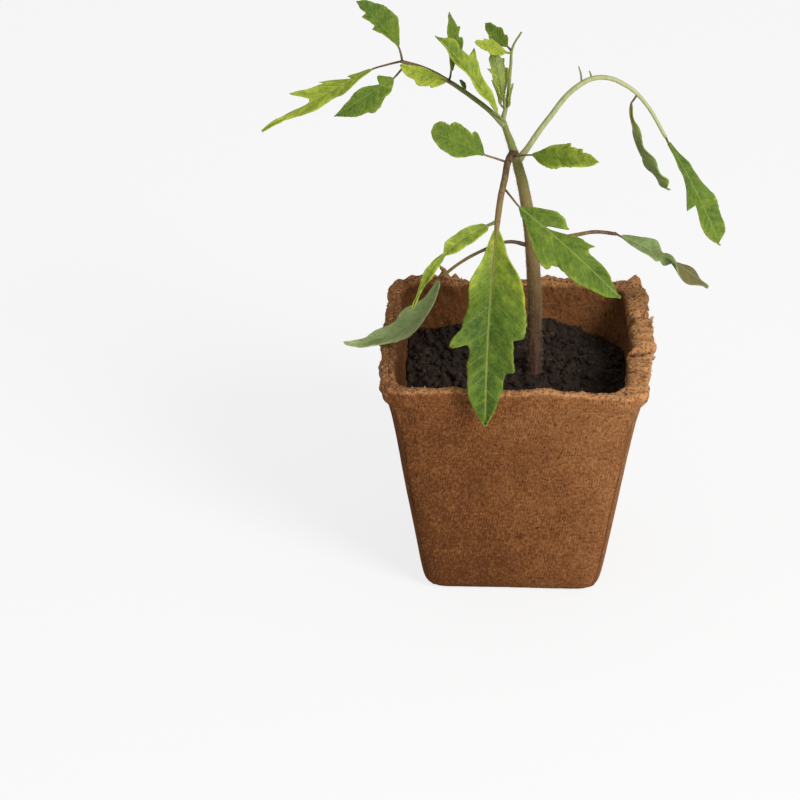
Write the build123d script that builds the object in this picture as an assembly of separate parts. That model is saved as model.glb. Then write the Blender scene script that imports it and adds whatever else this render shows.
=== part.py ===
from build123d import *

# A square moulded peat pot, filled with compost and planted with a young tomato seedling.
# Millimetres, +Z up. The origin is the centre of the base's underside, and -Y is the front.

import os
from math import asin, cos, degrees, radians, sin, tan

# Moulded pot: one pressed peat-fibre shell with a rolled lip
POT_HEIGHT = 80.5
BODY_TOP_WIDTH = 81.5
BASE_WIDTH = 57.8
WALL = 2.8
FLOOR = 3.0
CORNER_RADIUS = 6.5
FOOT_RADIUS = 3.6
LIP_OVERHANG = 2.25
LIP_HEIGHT = 6.5
LIP_TOP_RADIUS = 1.4
LIP_UNDER_RADIUS = 1.5
MOUTH_RADIUS = 1.6

# Compost: a loose fill with a low mound behind the stem
COMPOST_FREEBOARD = 16.5
COMPOST_MOUND = 3.0
COMPOST_MOUND_Y = 16.0
COMPOST_CLEARANCE = 0.3

# Stem: rises a little right of the pot's middle and leans left as it climbs
STEM_HEIGHT = 90.5
STEM_BASE_DIAMETER = 5.0
STEM_TOP_DIAMETER = 2.4
STEM_COLLAR_DEPTH = 6.0
STEM_X = 6.2
STEM_Y = 1.0
STEM_PATH_SHARES = [
    (0.0, 0.0, 0.0),
    (-0.006, 0.0, 0.36),
    (-0.036, 0.0, 0.66),
    (-0.07, 0.0, 0.82),
    (-0.128, 0.0, 1.0),
]

# Roots: a tap root that ends above the floor, with side roots set round it in a spiral
TAP_ROOT_FLOOR_GAP = 13.5
TAP_ROOT_WIDTH = 3.4
TAP_ROOT_END_WIDTH = 1.2
SIDE_ROOT_COUNT = 8
SIDE_ROOT_LENGTH = 20.0
SIDE_ROOT_WIDTH = 1.5
SIDE_ROOT_END_WIDTH = 0.7
SIDE_ROOT_TURN = 137.5
SIDE_ROOT_PITCH = -25.0
SIDE_ROOT_FIRST_SHARE = 0.12
SIDE_ROOT_LAST_SHARE = 0.86

# Stem and stalks: how many rings each is drawn through, and the sides of a ring
STALK_SECTIONS = 9
STEM_SIDES = 16
STALK_SIDES = 8

# Leaf blades: thin, folded along a midrib that shows as a rib underneath
BLADE_THICKNESS = 0.6
MIDRIB_WIDTH = 1.3
MIDRIB_DEPTH = 0.5
NECK_DIAMETER = 1.0
NECK_SIDES = 6
NECK_RUN_IN = 3.0
STUB_DIAMETER = 0.8
VEIN_ANGLE = 50.0
FORKED_VEIN_ANGLE = 28.0
OVERRUN = 5.0

# Leaf margins, from neck to tip. Each pair is where a side vein leaves the midrib and how
# long that vein is, as shares of the blade's length. Peaks are lobe tips and dips are notches.
SMOOTH_SHARES = [(0.01, 0.03), (0.14, 0.08), (0.36, 0.13), (0.6, 0.12), (0.85, 0.06)]
LOBED_SHARES = [
    (0.01, 0.03), (0.13, 0.07), (0.25, 0.12), (0.35, 0.15), (0.43, 0.18), (0.47, 0.24),
    (0.52, 0.14), (0.6, 0.145), (0.73, 0.13), (0.89, 0.06),
]
TOOTHED_SHARES = [
    (0.01, 0.03), (0.1, 0.09), (0.2, 0.19), (0.29, 0.23), (0.4, 0.25), (0.45, 0.19),
    (0.56, 0.18), (0.62, 0.19), (0.67, 0.13), (0.75, 0.11), (0.89, 0.06),
]
EARED_SHARES = [
    (0.01, 0.04), (0.04, 0.15), (0.1, 0.2), (0.16, 0.19), (0.2, 0.08), (0.34, 0.14),
    (0.42, 0.17), (0.5, 0.18), (0.54, 0.13), (0.64, 0.13), (0.82, 0.07),
]
BROAD_SHARES = [
    (0.01, 0.04), (0.05, 0.17), (0.13, 0.27), (0.28, 0.27), (0.33, 0.23), (0.52, 0.21),
    (0.73, 0.15), (0.9, 0.08),
]
ROUND_SHARES = [
    (0.01, 0.05), (0.04, 0.21), (0.11, 0.29), (0.17, 0.24), (0.28, 0.33), (0.4, 0.31),
    (0.46, 0.26), (0.68, 0.2), (0.87, 0.11),
]
PADDLE_SHARES = [(0.01, 0.02), (0.17, 0.06), (0.34, 0.12), (0.52, 0.16), (0.7, 0.16), (0.86, 0.1)]
NICKED_SHARES = [
    (0.01, 0.02), (0.2, 0.05), (0.34, 0.08), (0.42, 0.24), (0.51, 0.1), (0.65, 0.13), (0.84, 0.1),
]
FORKED_SHARES = [
    (0.01, 0.02), (0.08, 0.06), (0.13, 0.09), (0.16, 0.03), (0.18, 0.14), (0.21, 0.24),
    (0.24, 0.18), (0.33, 0.22), (0.41, 0.29), (0.5, 0.06), (0.7, 0.05), (0.88, 0.025),
]
NARROW_SHARES = [
    (0.01, 0.02), (0.1, 0.06), (0.15, 0.13), (0.28, 0.13), (0.38, 0.17), (0.48, 0.14), (0.76, 0.04),
]
TAILED_SHARES = [
    (0.01, 0.03), (0.07, 0.11), (0.2, 0.19), (0.34, 0.16), (0.43, 0.05), (0.49, 0.07),
    (0.62, 0.07), (0.85, 0.03),
]

# Leaf stalks. Each leaves the stem at a share of its height, and its path is in shares of its reach.
# A stub is a thin bare shoot that stands on the stalk at a share of its path.
STALKS = {
    "left_cotyledon_stalk": {
        "stem_share": 0.5, "reach": 30.0, "diameter": 1.5, "end_diameter": 1.2,
        "path_shares": [(-0.26, -0.07, 0.08), (-0.49, -0.13, 0.02), (-0.76, -0.2, -0.11), (-0.96, -0.27, -0.25)],
    },
    "right_cotyledon_stalk": {
        "stem_share": 0.5, "reach": 28.0, "diameter": 1.5, "end_diameter": 1.2,
        "path_shares": [(0.31, 0.14, 0.04), (0.53, 0.21, 0.06), (0.74, 0.25, 0.08), (0.98, 0.29, 0.04)],
    },
    "front_leaf_stalk": {
        "stem_share": 0.87, "reach": 30.0, "diameter": 2.4, "end_diameter": 1.8,
        "path_shares": [(-0.06, -0.2, -0.02), (-0.09, -0.43, -0.11), (-0.13, -0.67, -0.23), (-0.16, -0.9, -0.41)],
    },
    "right_leaf_stalk": {
        "stem_share": 0.83, "reach": 50.0, "diameter": 2.2, "end_diameter": 1.2,
        "path_shares": [
            (0.06, 0.03, 0.08), (0.19, 0.09, 0.26), (0.39, 0.18, 0.47), (0.53, 0.22, 0.51),
            (0.69, 0.24, 0.45), (0.82, 0.26, 0.32), (0.96, 0.26, 0.08),
        ],
        "stubs": [
            {"on_share": 0.46, "length": 6.0, "heading": 170, "pitch": 80},
            {"on_share": 0.51, "length": 2.8, "heading": 170, "pitch": 75},
        ],
    },
    "left_leaf_stalk": {
        "stem_share": 0.98, "reach": 38.0, "diameter": 1.9, "end_diameter": 1.2,
        "path_shares": [
            (-0.12, 0.03, 0.11), (-0.29, 0.05, 0.24), (-0.49, 0.1, 0.36), (-0.68, 0.13, 0.45), (-0.88, 0.16, 0.5),
        ],
    },
    "crown_stalk": {
        "stem_share": 1.0, "reach": 31.0, "diameter": 1.4, "end_diameter": 0.9,
        "path_shares": [(0.04, 0.03, 0.17), (0.075, 0.065, 0.58), (0.09, 0.065, 0.78), (0.18, 0.065, 0.96)],
    },
}

# Leaf blades. Each stands on its stalk, or on the stem, at a share of its path, on a neck that
# points one way, and its chord points another. Heading 0 is +X and 90 is +Y, pitch is above level.
BLADES = {
    "left_cotyledon_blade": {
        "on": "left_cotyledon_stalk", "on_share": 1.0, "neck": 1.5, "neck_heading": -168, "neck_pitch": -48,
        "length": 41.0, "heading": -171, "pitch": -35, "roll": -30, "bend": -80, "fold": 18,
        "left_shares": SMOOTH_SHARES, "right_shares": SMOOTH_SHARES,
    },
    "right_cotyledon_blade": {
        "on": "right_cotyledon_stalk", "on_share": 1.0, "neck": 1.5, "neck_heading": 8, "neck_pitch": -20,
        "length": 36.0, "heading": 8, "pitch": -34, "roll": 8, "bend": 14, "fold": 18,
        "left_shares": SMOOTH_SHARES, "right_shares": SMOOTH_SHARES,
    },
    "front_leaf_tip": {
        "on": "front_leaf_stalk", "on_share": 1.0, "neck": 2.0, "neck_heading": -97, "neck_pitch": -48,
        "length": 64.0, "heading": -96, "pitch": -68, "roll": 4, "bend": 30, "fold": 14,
        "left_shares": TOOTHED_SHARES, "right_shares": LOBED_SHARES,
    },
    "front_leaf_lower_left": {
        "on": "front_leaf_stalk", "on_share": 0.99, "neck": 3.0, "neck_heading": -165, "neck_pitch": -20,
        "length": 39.0, "heading": -152, "pitch": -42, "roll": -50, "bend": 76, "fold": 16,
        "left_shares": TAILED_SHARES, "right_shares": TAILED_SHARES,
    },
    "front_leaf_lower_right": {
        "on": "front_leaf_stalk", "on_share": 0.57, "neck": 8.5, "neck_heading": -46, "neck_pitch": -30,
        "length": 44.0, "heading": -17, "pitch": -38, "roll": 44, "bend": 24, "fold": 14,
        "left_shares": EARED_SHARES, "right_shares": BROAD_SHARES,
    },
    "front_leaf_upper_left": {
        "on": "front_leaf_stalk", "on_share": 0.22, "neck": 9.5, "neck_heading": -150, "neck_pitch": 28,
        "length": 21.0, "heading": -160, "pitch": 30, "roll": -62, "bend": 22, "fold": 10,
        "left_shares": ROUND_SHARES, "right_shares": ROUND_SHARES,
    },
    "front_leaf_upper_right": {
        "on": "front_leaf_stalk", "on_share": 0.1, "neck": 9.5, "neck_heading": -43, "neck_pitch": 22,
        "length": 23.0, "heading": -19, "pitch": 3, "roll": 40, "bend": 18, "fold": 14,
        "left_shares": TOOTHED_SHARES, "right_shares": BROAD_SHARES,
    },
    "right_leaf_tip": {
        "on": "right_leaf_stalk", "on_share": 1.0, "neck": 1.5, "neck_heading": -10, "neck_pitch": -58,
        "length": 39.0, "heading": -19, "pitch": -61, "roll": 30, "bend": 18, "fold": 10,
        "left_shares": PADDLE_SHARES, "right_shares": NICKED_SHARES,
    },
    "right_leaf_side": {
        "on": "right_leaf_stalk", "on_share": 0.75, "neck": 3.5, "neck_heading": -130, "neck_pitch": -35,
        "length": 32.0, "heading": -32, "pitch": -61, "roll": -60, "bend": -52, "fold": 12,
        "left_shares": NICKED_SHARES, "right_shares": PADDLE_SHARES,
    },
    "left_leaf_tip": {
        "on": "left_leaf_stalk", "on_share": 1.0, "neck": 9.5, "neck_heading": 174, "neck_pitch": -18,
        "length": 41.5, "heading": -170, "pitch": -29, "roll": -50, "bend": 10, "fold": 10,
        "vein_angle": FORKED_VEIN_ANGLE, "left_shares": NARROW_SHARES, "right_shares": FORKED_SHARES,
    },
    "left_leaf_top": {
        "on": "left_leaf_stalk", "on_share": 0.99, "neck": 5.0, "neck_heading": 150, "neck_pitch": 78,
        "length": 21.5, "heading": -171, "pitch": 50, "roll": -50, "bend": 20, "fold": 12,
        "left_shares": TOOTHED_SHARES, "right_shares": ROUND_SHARES,
    },
    "left_leaf_lower": {
        "on": "left_leaf_stalk", "on_share": 0.95, "neck": 6.5, "neck_heading": -142, "neck_pitch": -38,
        "length": 23.5, "heading": -151, "pitch": -23, "roll": -58, "bend": 24, "fold": 12,
        "left_shares": TOOTHED_SHARES, "right_shares": EARED_SHARES,
    },
    "left_leaf_inner_upper": {
        "on": "left_leaf_stalk", "on_share": 0.58, "neck": 4.0, "neck_heading": -50, "neck_pitch": 66,
        "length": 19.5, "heading": 105, "pitch": 78, "roll": 35, "bend": 16, "fold": 20,
        "left_shares": LOBED_SHARES, "right_shares": TOOTHED_SHARES,
    },
    "left_leaf_inner_lower": {
        "on": "left_leaf_stalk", "on_share": 0.56, "neck": 2.4, "neck_heading": -112, "neck_pitch": 30,
        "length": 16.5, "heading": -172, "pitch": 22, "roll": -62, "bend": -16, "fold": 10,
        "left_shares": ROUND_SHARES, "right_shares": SMOOTH_SHARES,
    },
    "crown_left": {
        "on": "main_stem", "on_share": 0.99, "neck": 4.5, "neck_heading": -140, "neck_pitch": 60,
        "length": 35.0, "heading": -168, "pitch": 54, "roll": -30, "bend": 14, "fold": 22,
        "left_shares": SMOOTH_SHARES, "right_shares": LOBED_SHARES,
    },
    "crown_middle": {
        "on": "crown_stalk", "on_share": 0.14, "neck": 2.5, "neck_heading": 150, "neck_pitch": 60,
        "length": 18.0, "heading": 135, "pitch": 75, "roll": 150, "bend": -14, "fold": 16,
        "left_shares": TOOTHED_SHARES, "right_shares": LOBED_SHARES,
    },
    "crown_light": {
        "on": "crown_stalk", "on_share": 0.74, "neck": 1.8, "neck_heading": -150, "neck_pitch": 20,
        "length": 12.5, "heading": -155, "pitch": 26, "roll": -45, "bend": 20, "fold": 12,
        "left_shares": ROUND_SHARES, "right_shares": TOOTHED_SHARES,
    },
    "crown_dark": {
        "on": "crown_stalk", "on_share": 0.76, "neck": 1.8, "neck_heading": 150, "neck_pitch": 40,
        "length": 10.5, "heading": 155, "pitch": 40, "roll": -60, "bend": 20, "fold": 12,
        "left_shares": ROUND_SHARES, "right_shares": ROUND_SHARES,
    },
    "left_leaf_bud": {
        "on": "left_leaf_stalk", "on_share": 0.42, "neck": 1.6, "neck_heading": -70, "neck_pitch": 50,
        "length": 4.0, "heading": -175, "pitch": 62, "roll": -30, "bend": 16, "fold": 12,
        "left_shares": ROUND_SHARES, "right_shares": ROUND_SHARES,
    },
}

# Growing tip: a tuft of folded leaflets between the youngest leaves
BUD_HEADINGS = [-150, -40]
BUD_LEAFLET = {
    "on_share": 0.1, "neck": 3.0, "neck_pitch": 62,
    "length": 9.5, "pitch": 68, "roll": 0, "bend": 20, "fold": 30,
    "left_shares": ROUND_SHARES, "right_shares": ROUND_SHARES,
}


def width_at(height):
    """Outside width of the tapered body at a height above the base."""
    return BASE_WIDTH + (BODY_TOP_WIDTH - BASE_WIDTH) * height / (POT_HEIGHT - LIP_HEIGHT)


def tapered_post(start, end, start_width, end_width):
    """A four-sided post between two points, of one width at its start and another at its end."""
    run = end - start
    step = (start_width - end_width) / 2
    far = start_width - step
    post = Wedge(start_width, run.length, start_width, step, step, far, far)
    return Plane((start + end) / 2, z_dir=run) * Rotation(90, 0, 0) * post


def tapered_block(low, high, inset):
    """The pot's tapered square form between two heights, drawn in all round by the inset."""
    widths = [width_at(height) - 2 * inset for height in (low, high)]
    block = tapered_post(Vector(0, 0, low), Vector(0, 0, high), *widths)
    corners = block.edges().group_by(Axis.Z)[1]
    return fillet(corners, CORNER_RADIUS - inset)


def lowest_ring(shape):
    return shape.edges().group_by(Axis.Z)[0]


def peat_pot():
    lip_width = BODY_TOP_WIDTH + 2 * LIP_OVERHANG
    lip_low = POT_HEIGHT - LIP_HEIGHT
    lip_corner = CORNER_RADIUS + (lip_width - width_at(POT_HEIGHT)) / 2
    body = tapered_block(0, POT_HEIGHT, 0)
    body = fillet(lowest_ring(body), FOOT_RADIUS)
    lip = Pos(0, 0, lip_low) * extrude(RectangleRounded(lip_width, lip_width, lip_corner), LIP_HEIGHT)
    lip = fillet(lip.edges().group_by(Axis.Z)[-1], LIP_TOP_RADIUS)
    lip = fillet(lowest_ring(lip), LIP_UNDER_RADIUS)
    pot = body + lip - tapered_block(FLOOR, POT_HEIGHT + OVERRUN, WALL)
    rim = pot.faces().filter_by(Axis.Z).sort_by(Axis.Z)[-1]
    return fillet(rim.inner_wires()[0].edges(), MOUTH_RADIUS)


def shoot(points, start_diameter, end_diameter, sides):
    """A tapering shoot along a smooth line through the points."""
    path = Spline(points)
    run = path @ 1 - path @ 0
    across = Vector(1, 0, 0) if abs(run.Y) > abs(run.X) else Vector(0, 1, 0)
    rings = []
    for step in range(STALK_SECTIONS):
        share = step / (STALK_SECTIONS - 1)
        diameter = start_diameter + (end_diameter - start_diameter) * share
        ring = Plane(path @ share, x_dir=across, z_dir=path % share)
        rings.append(ring * RegularPolygon(diameter / 2, sides))
    return loft(rings, ruled=True)


def direction(heading, pitch):
    turn, rise = radians(heading), radians(pitch)
    return Vector(cos(rise) * cos(turn), cos(rise) * sin(turn), sin(rise))


def scaled(shares, size, start):
    return [start + Vector(*share) * size for share in shares]


COMPOST_LEVEL = POT_HEIGHT - COMPOST_FREEBOARD
COMPOST_TOP = COMPOST_LEVEL + COMPOST_MOUND
DOME_RADIUS = ((BODY_TOP_WIDTH / 2) ** 2 + COMPOST_MOUND**2) / (2 * COMPOST_MOUND)
STEM_SETBACK = COMPOST_MOUND_Y - STEM_Y
STEM_FOOT = Vector(STEM_X, STEM_Y, COMPOST_TOP - DOME_RADIUS + (DOME_RADIUS**2 - STEM_SETBACK**2) ** 0.5)
STEM_PATH = Spline(scaled(STEM_PATH_SHARES, STEM_HEIGHT, STEM_FOOT))
COLLAR = STEM_FOOT - Vector(0, 0, STEM_COLLAR_DEPTH)


def main_stem():
    points = [COLLAR] + scaled(STEM_PATH_SHARES, STEM_HEIGHT, STEM_FOOT)
    return shoot(points, STEM_BASE_DIAMETER, STEM_TOP_DIAMETER, STEM_SIDES)


def root_system():
    tap_end = Vector(STEM_X, STEM_Y, FLOOR + TAP_ROOT_FLOOR_GAP)
    roots = tapered_post(COLLAR, tap_end, TAP_ROOT_WIDTH, TAP_ROOT_END_WIDTH)
    spread_share = (SIDE_ROOT_LAST_SHARE - SIDE_ROOT_FIRST_SHARE) / (SIDE_ROOT_COUNT - 1)
    for number in range(SIDE_ROOT_COUNT):
        start = COLLAR + (tap_end - COLLAR) * (SIDE_ROOT_FIRST_SHARE + spread_share * number)
        end = start + direction(SIDE_ROOT_TURN * number, SIDE_ROOT_PITCH) * SIDE_ROOT_LENGTH
        roots += tapered_post(start, end, SIDE_ROOT_WIDTH, SIDE_ROOT_END_WIDTH)
    return roots


def compost(planted):
    """The fill inside the pot, domed at the top, with the planted pieces' places taken out."""
    fill = tapered_block(FLOOR + COMPOST_CLEARANCE, COMPOST_TOP + OVERRUN, WALL + COMPOST_CLEARANCE)
    fill &= Pos(STEM_X, COMPOST_MOUND_Y, COMPOST_TOP - DOME_RADIUS) * Sphere(DOME_RADIUS)
    return fill - planted


def margin(shares, length, chord, vein_angle, side):
    """One edge of a blade as lines and curves, with a corner at each lobe tip and notch."""
    turn = radians(vein_angle)
    points = [
        (chord * along + length * vein * cos(turn), side * length * vein * sin(turn)) for along, vein in shares
    ] + [(chord, 0)]
    veins = [vein for _, vein in shares] + [0]
    is_lobed = sum(b > a and b > c for a, b, c in zip(veins, veins[1:], veins[2:])) > 1
    runs, run = [], [points[0]]
    for number in range(1, len(points)):
        run.append(points[number])
        is_last = number == len(points) - 1
        is_turn = not is_last and (veins[number] - veins[number - 1]) * (veins[number + 1] - veins[number]) < 0
        if is_last or (is_lobed and is_turn):
            runs.append(Spline(run) if len(run) > 2 else Line(run))
            run = [points[number]]
    return runs


def blade_solid(length, bend, fold, vein_angle, left_shares, right_shares):
    """A blade lying along +X from the origin to its tip, bent down (or up) and folded along its midrib."""
    half_turn = radians(bend) / 2
    radius = length / (2 * half_turn)
    chord = 2 * radius * sin(half_turn)
    left = margin(left_shares, length, chord, vein_angle, 1)
    right = margin(right_shares, length, chord, vein_angle, -1)
    neck = Line(right[0] @ 0, left[0] @ 0)
    outline = make_face(left + right + [neck])

    longest_vein = length * max(vein for _, vein in left_shares + right_shares)
    half_span = max(longest_vein, 2 * MIDRIB_WIDTH)
    rise = tan(radians(fold))
    crown = radius - radius * cos(half_turn)
    profile = [
        (-half_span, half_span * rise),
        (0, 0),
        (half_span, half_span * rise),
        (half_span, half_span * rise - BLADE_THICKNESS),
        (MIDRIB_WIDTH, MIDRIB_WIDTH * rise - BLADE_THICKNESS),
        (MIDRIB_WIDTH / 2, -BLADE_THICKNESS - MIDRIB_DEPTH),
        (-MIDRIB_WIDTH / 2, -BLADE_THICKNESS - MIDRIB_DEPTH),
        (-MIDRIB_WIDTH, MIDRIB_WIDTH * rise - BLADE_THICKNESS),
        (-half_span, half_span * rise - BLADE_THICKNESS),
    ]
    section = make_face(Polyline(profile, close=True))
    hub = Axis((chord / 2, 0, crown - radius), (0, 1, 0))
    spare = degrees(asin(min(OVERRUN / abs(radius), 1)))
    swing = abs(bend) + 2 * spare
    start = Plane((chord / 2, 0, crown), x_dir=(0, 1, 0), z_dir=(1, 0, 0)) * section
    sheet = revolve(start.rotate(hub, -swing / 2), hub, swing)
    depth = chord + half_span
    return sheet & Pos(0, 0, -depth / 2) * extrude(outline, depth)


def placed(shape, start, heading, pitch, roll):
    turn = Rotation(0, 0, heading) * Rotation(0, -pitch, 0) * Rotation(roll, 0, 0)
    return Pos(start) * turn * shape


def neck_rod(start, end, diameter=NECK_DIAMETER):
    run = end - start
    return Plane(start, z_dir=run) * extrude(RegularPolygon(diameter / 2, NECK_SIDES), run.length)


def leaf_blade(spec, path):
    """A blade and the neck that carries it, as one piece, standing on a path."""
    seat = path @ spec["on_share"]
    base = seat + direction(spec["neck_heading"], spec["neck_pitch"]) * spec["neck"]
    leaving = direction(spec["heading"], spec["pitch"] + spec["bend"] / 2)
    vein_angle = spec.get("vein_angle", VEIN_ANGLE)
    margins = spec["left_shares"], spec["right_shares"]
    blade = blade_solid(spec["length"], spec["bend"], spec["fold"], vein_angle, *margins)
    blade = placed(blade, base, spec["heading"], spec["pitch"], spec["roll"])
    return blade + neck_rod(seat, base) + neck_rod(base, base + leaving * NECK_RUN_IN)


def growing_tip(path):
    """A tuft of folded leaflets standing on one stalk."""
    tuft = None
    for heading in BUD_HEADINGS:
        leaflet = leaf_blade({**BUD_LEAFLET, "heading": heading, "neck_heading": heading}, path)
        tuft = leaflet if tuft is None else tuft + leaflet
    return tuft


def boxes_meet(one, two):
    a, b = one.bounding_box(), two.bounding_box()
    spans = zip(tuple(a.min), tuple(a.max), tuple(b.min), tuple(b.max))
    return all(a_low <= b_high and b_low <= a_high for a_low, a_high, b_low, b_high in spans)


def seated(piece, earlier):
    """A piece cut back to the pieces that stand before it, so that they meet face to face."""
    for other in earlier:
        if boxes_meet(piece, other):
            piece -= other
    return max(piece.solids(), key=lambda solid: solid.volume)


def plant():
    """The stem, the stalks that leave it and the blades that stand on them, in growing order."""
    nodes = {"main_stem": main_stem()}
    paths = {"main_stem": STEM_PATH}
    for name, spec in STALKS.items():
        start = STEM_PATH @ spec["stem_share"]
        points = [start] + scaled(spec["path_shares"], spec["reach"], start)
        paths[name] = Spline(points)
        stalk = shoot(points, spec["diameter"], spec["end_diameter"], STALK_SIDES)
        for stub in spec.get("stubs", []):
            foot = paths[name] @ stub["on_share"]
            tip = foot + direction(stub["heading"], stub["pitch"]) * stub["length"]
            stalk += neck_rod(foot, tip, STUB_DIAMETER)
        nodes[name] = seated(stalk, list(nodes.values()))
    for name, spec in BLADES.items():
        nodes[name] = seated(leaf_blade(spec, paths[spec["on"]]), list(nodes.values()))
    nodes["growing_tip"] = seated(growing_tip(paths["crown_stalk"]), list(nodes.values()))
    return nodes


nodes = {"peat_pot": peat_pot(), "root_system": root_system(), **plant()}
nodes["compost"] = compost(nodes["main_stem"] + nodes["root_system"])

os.makedirs("parts", exist_ok=True)
for name, shape in nodes.items():
    export_step(shape, f"parts/{name}.step")
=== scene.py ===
import random
from math import asin, cos, exp, pi, radians, sin, tan

import bmesh
import bpy
from mathutils import Euler, Matrix, Vector, noise


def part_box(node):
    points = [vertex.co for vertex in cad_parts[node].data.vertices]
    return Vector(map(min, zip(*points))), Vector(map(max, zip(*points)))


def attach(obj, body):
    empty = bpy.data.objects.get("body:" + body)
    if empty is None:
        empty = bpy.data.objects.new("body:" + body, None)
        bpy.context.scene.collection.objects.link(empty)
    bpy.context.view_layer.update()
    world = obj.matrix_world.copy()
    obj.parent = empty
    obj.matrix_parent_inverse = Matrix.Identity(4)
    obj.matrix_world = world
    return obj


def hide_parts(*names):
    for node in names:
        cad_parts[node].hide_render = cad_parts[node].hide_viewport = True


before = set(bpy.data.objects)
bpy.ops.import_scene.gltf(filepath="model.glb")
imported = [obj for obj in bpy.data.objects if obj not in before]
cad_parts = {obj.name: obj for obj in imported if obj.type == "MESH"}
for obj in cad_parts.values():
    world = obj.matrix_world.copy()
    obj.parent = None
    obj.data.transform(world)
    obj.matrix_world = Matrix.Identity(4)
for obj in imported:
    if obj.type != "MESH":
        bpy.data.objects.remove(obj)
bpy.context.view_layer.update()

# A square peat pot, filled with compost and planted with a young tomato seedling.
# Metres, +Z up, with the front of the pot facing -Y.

chance = random.Random(11)


# Peat pot
# One shell pressed from wet peat and wood fibre over a woven mould, then dried.
# The walls are thin and tapered, and the lip flares out, with an edge that tore as it came off the mould.
POT_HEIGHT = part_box("peat_pot")[1].z
FOOT_HALF_WIDTH = 0.0289
TOP_HALF_WIDTH = 0.04075
LIP_OVERHANG = 0.00225
LIP_HEIGHT = 0.0065
LIP_LOW = POT_HEIGHT - LIP_HEIGHT
WALL = 0.0028
FLOOR = 0.003
FOOT_RADIUS = 0.0036
FOOT_CORNER_RADIUS = 0.0046
FOOT_TURNS = 0, 30, 60
BASE_RING_SHARES = 0.5, 0.8
FLOOR_RING_SHARES = 0.86, 0.5
CORNER_STEPS = 4
SIDE_CUTS = 47
OUTSIDE_HEIGHTS = 0.0045, 0.022, 0.042, 0.056, 0.067
INSIDE_HEIGHTS = 0.0705, 0.0650, 0.0590, 0.0450, 0.0060

# The lip's section, from the wall under it round its edge to the mouth: shares of overhang and lip height
LIP_SHARES = [
    (0.0, -0.45), (0.06, -0.18), (0.45, 0.0), (0.95, 0.22), (1.0, 0.6), (0.99, 0.9), (0.85, 1.0),
    (0.2, 1.0), (-0.5, 1.0), (-0.95, 0.94), (-1.12, 0.62), (-1.22, 0.02),
]

# Places where the lip stands up or is torn down: x, y, rise and spread
LIP_TEARS = [
    (-0.0244, 0.0420, 0.0036, 0.0015),
    (-0.0208, 0.0420, 0.0020, 0.0013),
    (-0.0310, 0.0420, 0.0010, 0.0040),
    (-0.0155, 0.0420, -0.0009, 0.0020),
    (0.0090, 0.0420, 0.0012, 0.0045),
    (0.0180, 0.0420, 0.0009, 0.0050),
    (0.0275, 0.0420, -0.0006, 0.0030),
    (0.0408, 0.0408, 0.0042, 0.0022),
    (0.0432, 0.0159, -0.0024, 0.0009),
    (0.0408, 0.0166, -0.0016, 0.0008),
    (0.0388, 0.0172, -0.0008, 0.0007),
    (0.0436, -0.0066, -0.0044, 0.0017),
    (0.0420, -0.0086, -0.0042, 0.0016),
    (0.0404, -0.0106, -0.0028, 0.0013),
    (0.0390, -0.0126, -0.0016, 0.0012),
    (0.0430, -0.0240, -0.0012, 0.0018),
    (0.0425, -0.0300, 0.0008, 0.0040),
    (-0.0430, -0.0050, -0.0012, 0.0012),
    (-0.0430, 0.0200, 0.0010, 0.0050),
    (-0.0330, -0.0420, 0.0005, 0.0050),
    (-0.0200, -0.0420, 0.0013, 0.0070),
    (-0.0120, -0.0420, -0.0006, 0.0016),
    (0.0080, -0.0420, 0.0015, 0.0070),
    (0.0200, -0.0420, 0.0004, 0.0040),
    (0.0250, -0.0420, -0.0007, 0.0014),
    (0.0360, -0.0420, -0.0012, 0.0060),
]

# How near a tear is felt, how far it draws the lip in, and the depths at which it starts and ends darkening
# with painted shade
TEAR_NEAR = 0.01
TEAR_PULL = 0.6
PIT_DEPTHS = 0.0008, 0.003

# Heights between which the lip, its top and its thin torn edge set in
LIP_RUN = LIP_LOW - 0.0012, LIP_LOW + 0.003
LIP_TOP_RUN = LIP_LOW + 0.0025, POT_HEIGHT - 0.0006
LIP_EDGE_RUN = POT_HEIGHT - 0.0016, POT_HEIGHT - 0.0003
LIP_TORN = 0.35
LIP_WAVE = 0.0007
LIP_WAVE_SIZE = 0.013
LIP_ROUGH_FRONT = 0.6
LIP_ROUGH_REST = 1.2
INNER_SHARE = 0.6
SIDE_PLACE = 0.03
FRONT_PLACE = -0.02

# The sides bow out, and the right one steps out between two tears and folds in over the mouth
RIGHT_BOW = 0.0018
RIGHT_BOW_PLACE = 0.004
RIGHT_BOW_SPREAD = 0.030
RIGHT_STEP = 0.0009
RIGHT_STEP_FAR = 0.0162
RIGHT_STEP_RUN = 0.0010
RIGHT_STEP_NEAR = -0.0095, -0.0070
RIGHT_FOLD = 0.0028
RIGHT_FOLD_START = 0.0004
LEFT_BOW = 0.0009
LEFT_BOW_PLACE = -0.012
LEFT_BOW_SPREAD = 0.025

# At the front the wall leans out to meet the lip, less so on the right, and the lip is thin there
FRONT_LEAN = 0.0020
FRONT_LEAN_LOW = 0.045
FRONT_LEAN_FULL = LIP_LOW + 0.001
FRONT_LEAN_END = LIP_LOW + 0.003
FRONT_LEAN_LESS = 0.45
FRONT_LEAN_LESS_RUN = 0.0, 0.025
FRONT_RUN = 0.030, 0.037
FRONT_THINNING = 0.0008
FRONT_THIN_RUN = 0.066, 0.078

# Roughness of the skin: depth and size of its lumps
LIP_ROUGH = [(0.00060, 0.0045), (0.00040, 0.0022), (0.00020, 0.0012)]
EDGE_ROUGH = [(0.00038, 0.0030), (0.00022, 0.0013)]
INSIDE_ROUGH = [(0.00055, 0.0060), (0.00042, 0.0025), (0.00018, 0.0012)]
OUTSIDE_ROUGH = [(0.00030, 0.0300), (0.00005, 0.0030)]


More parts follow.
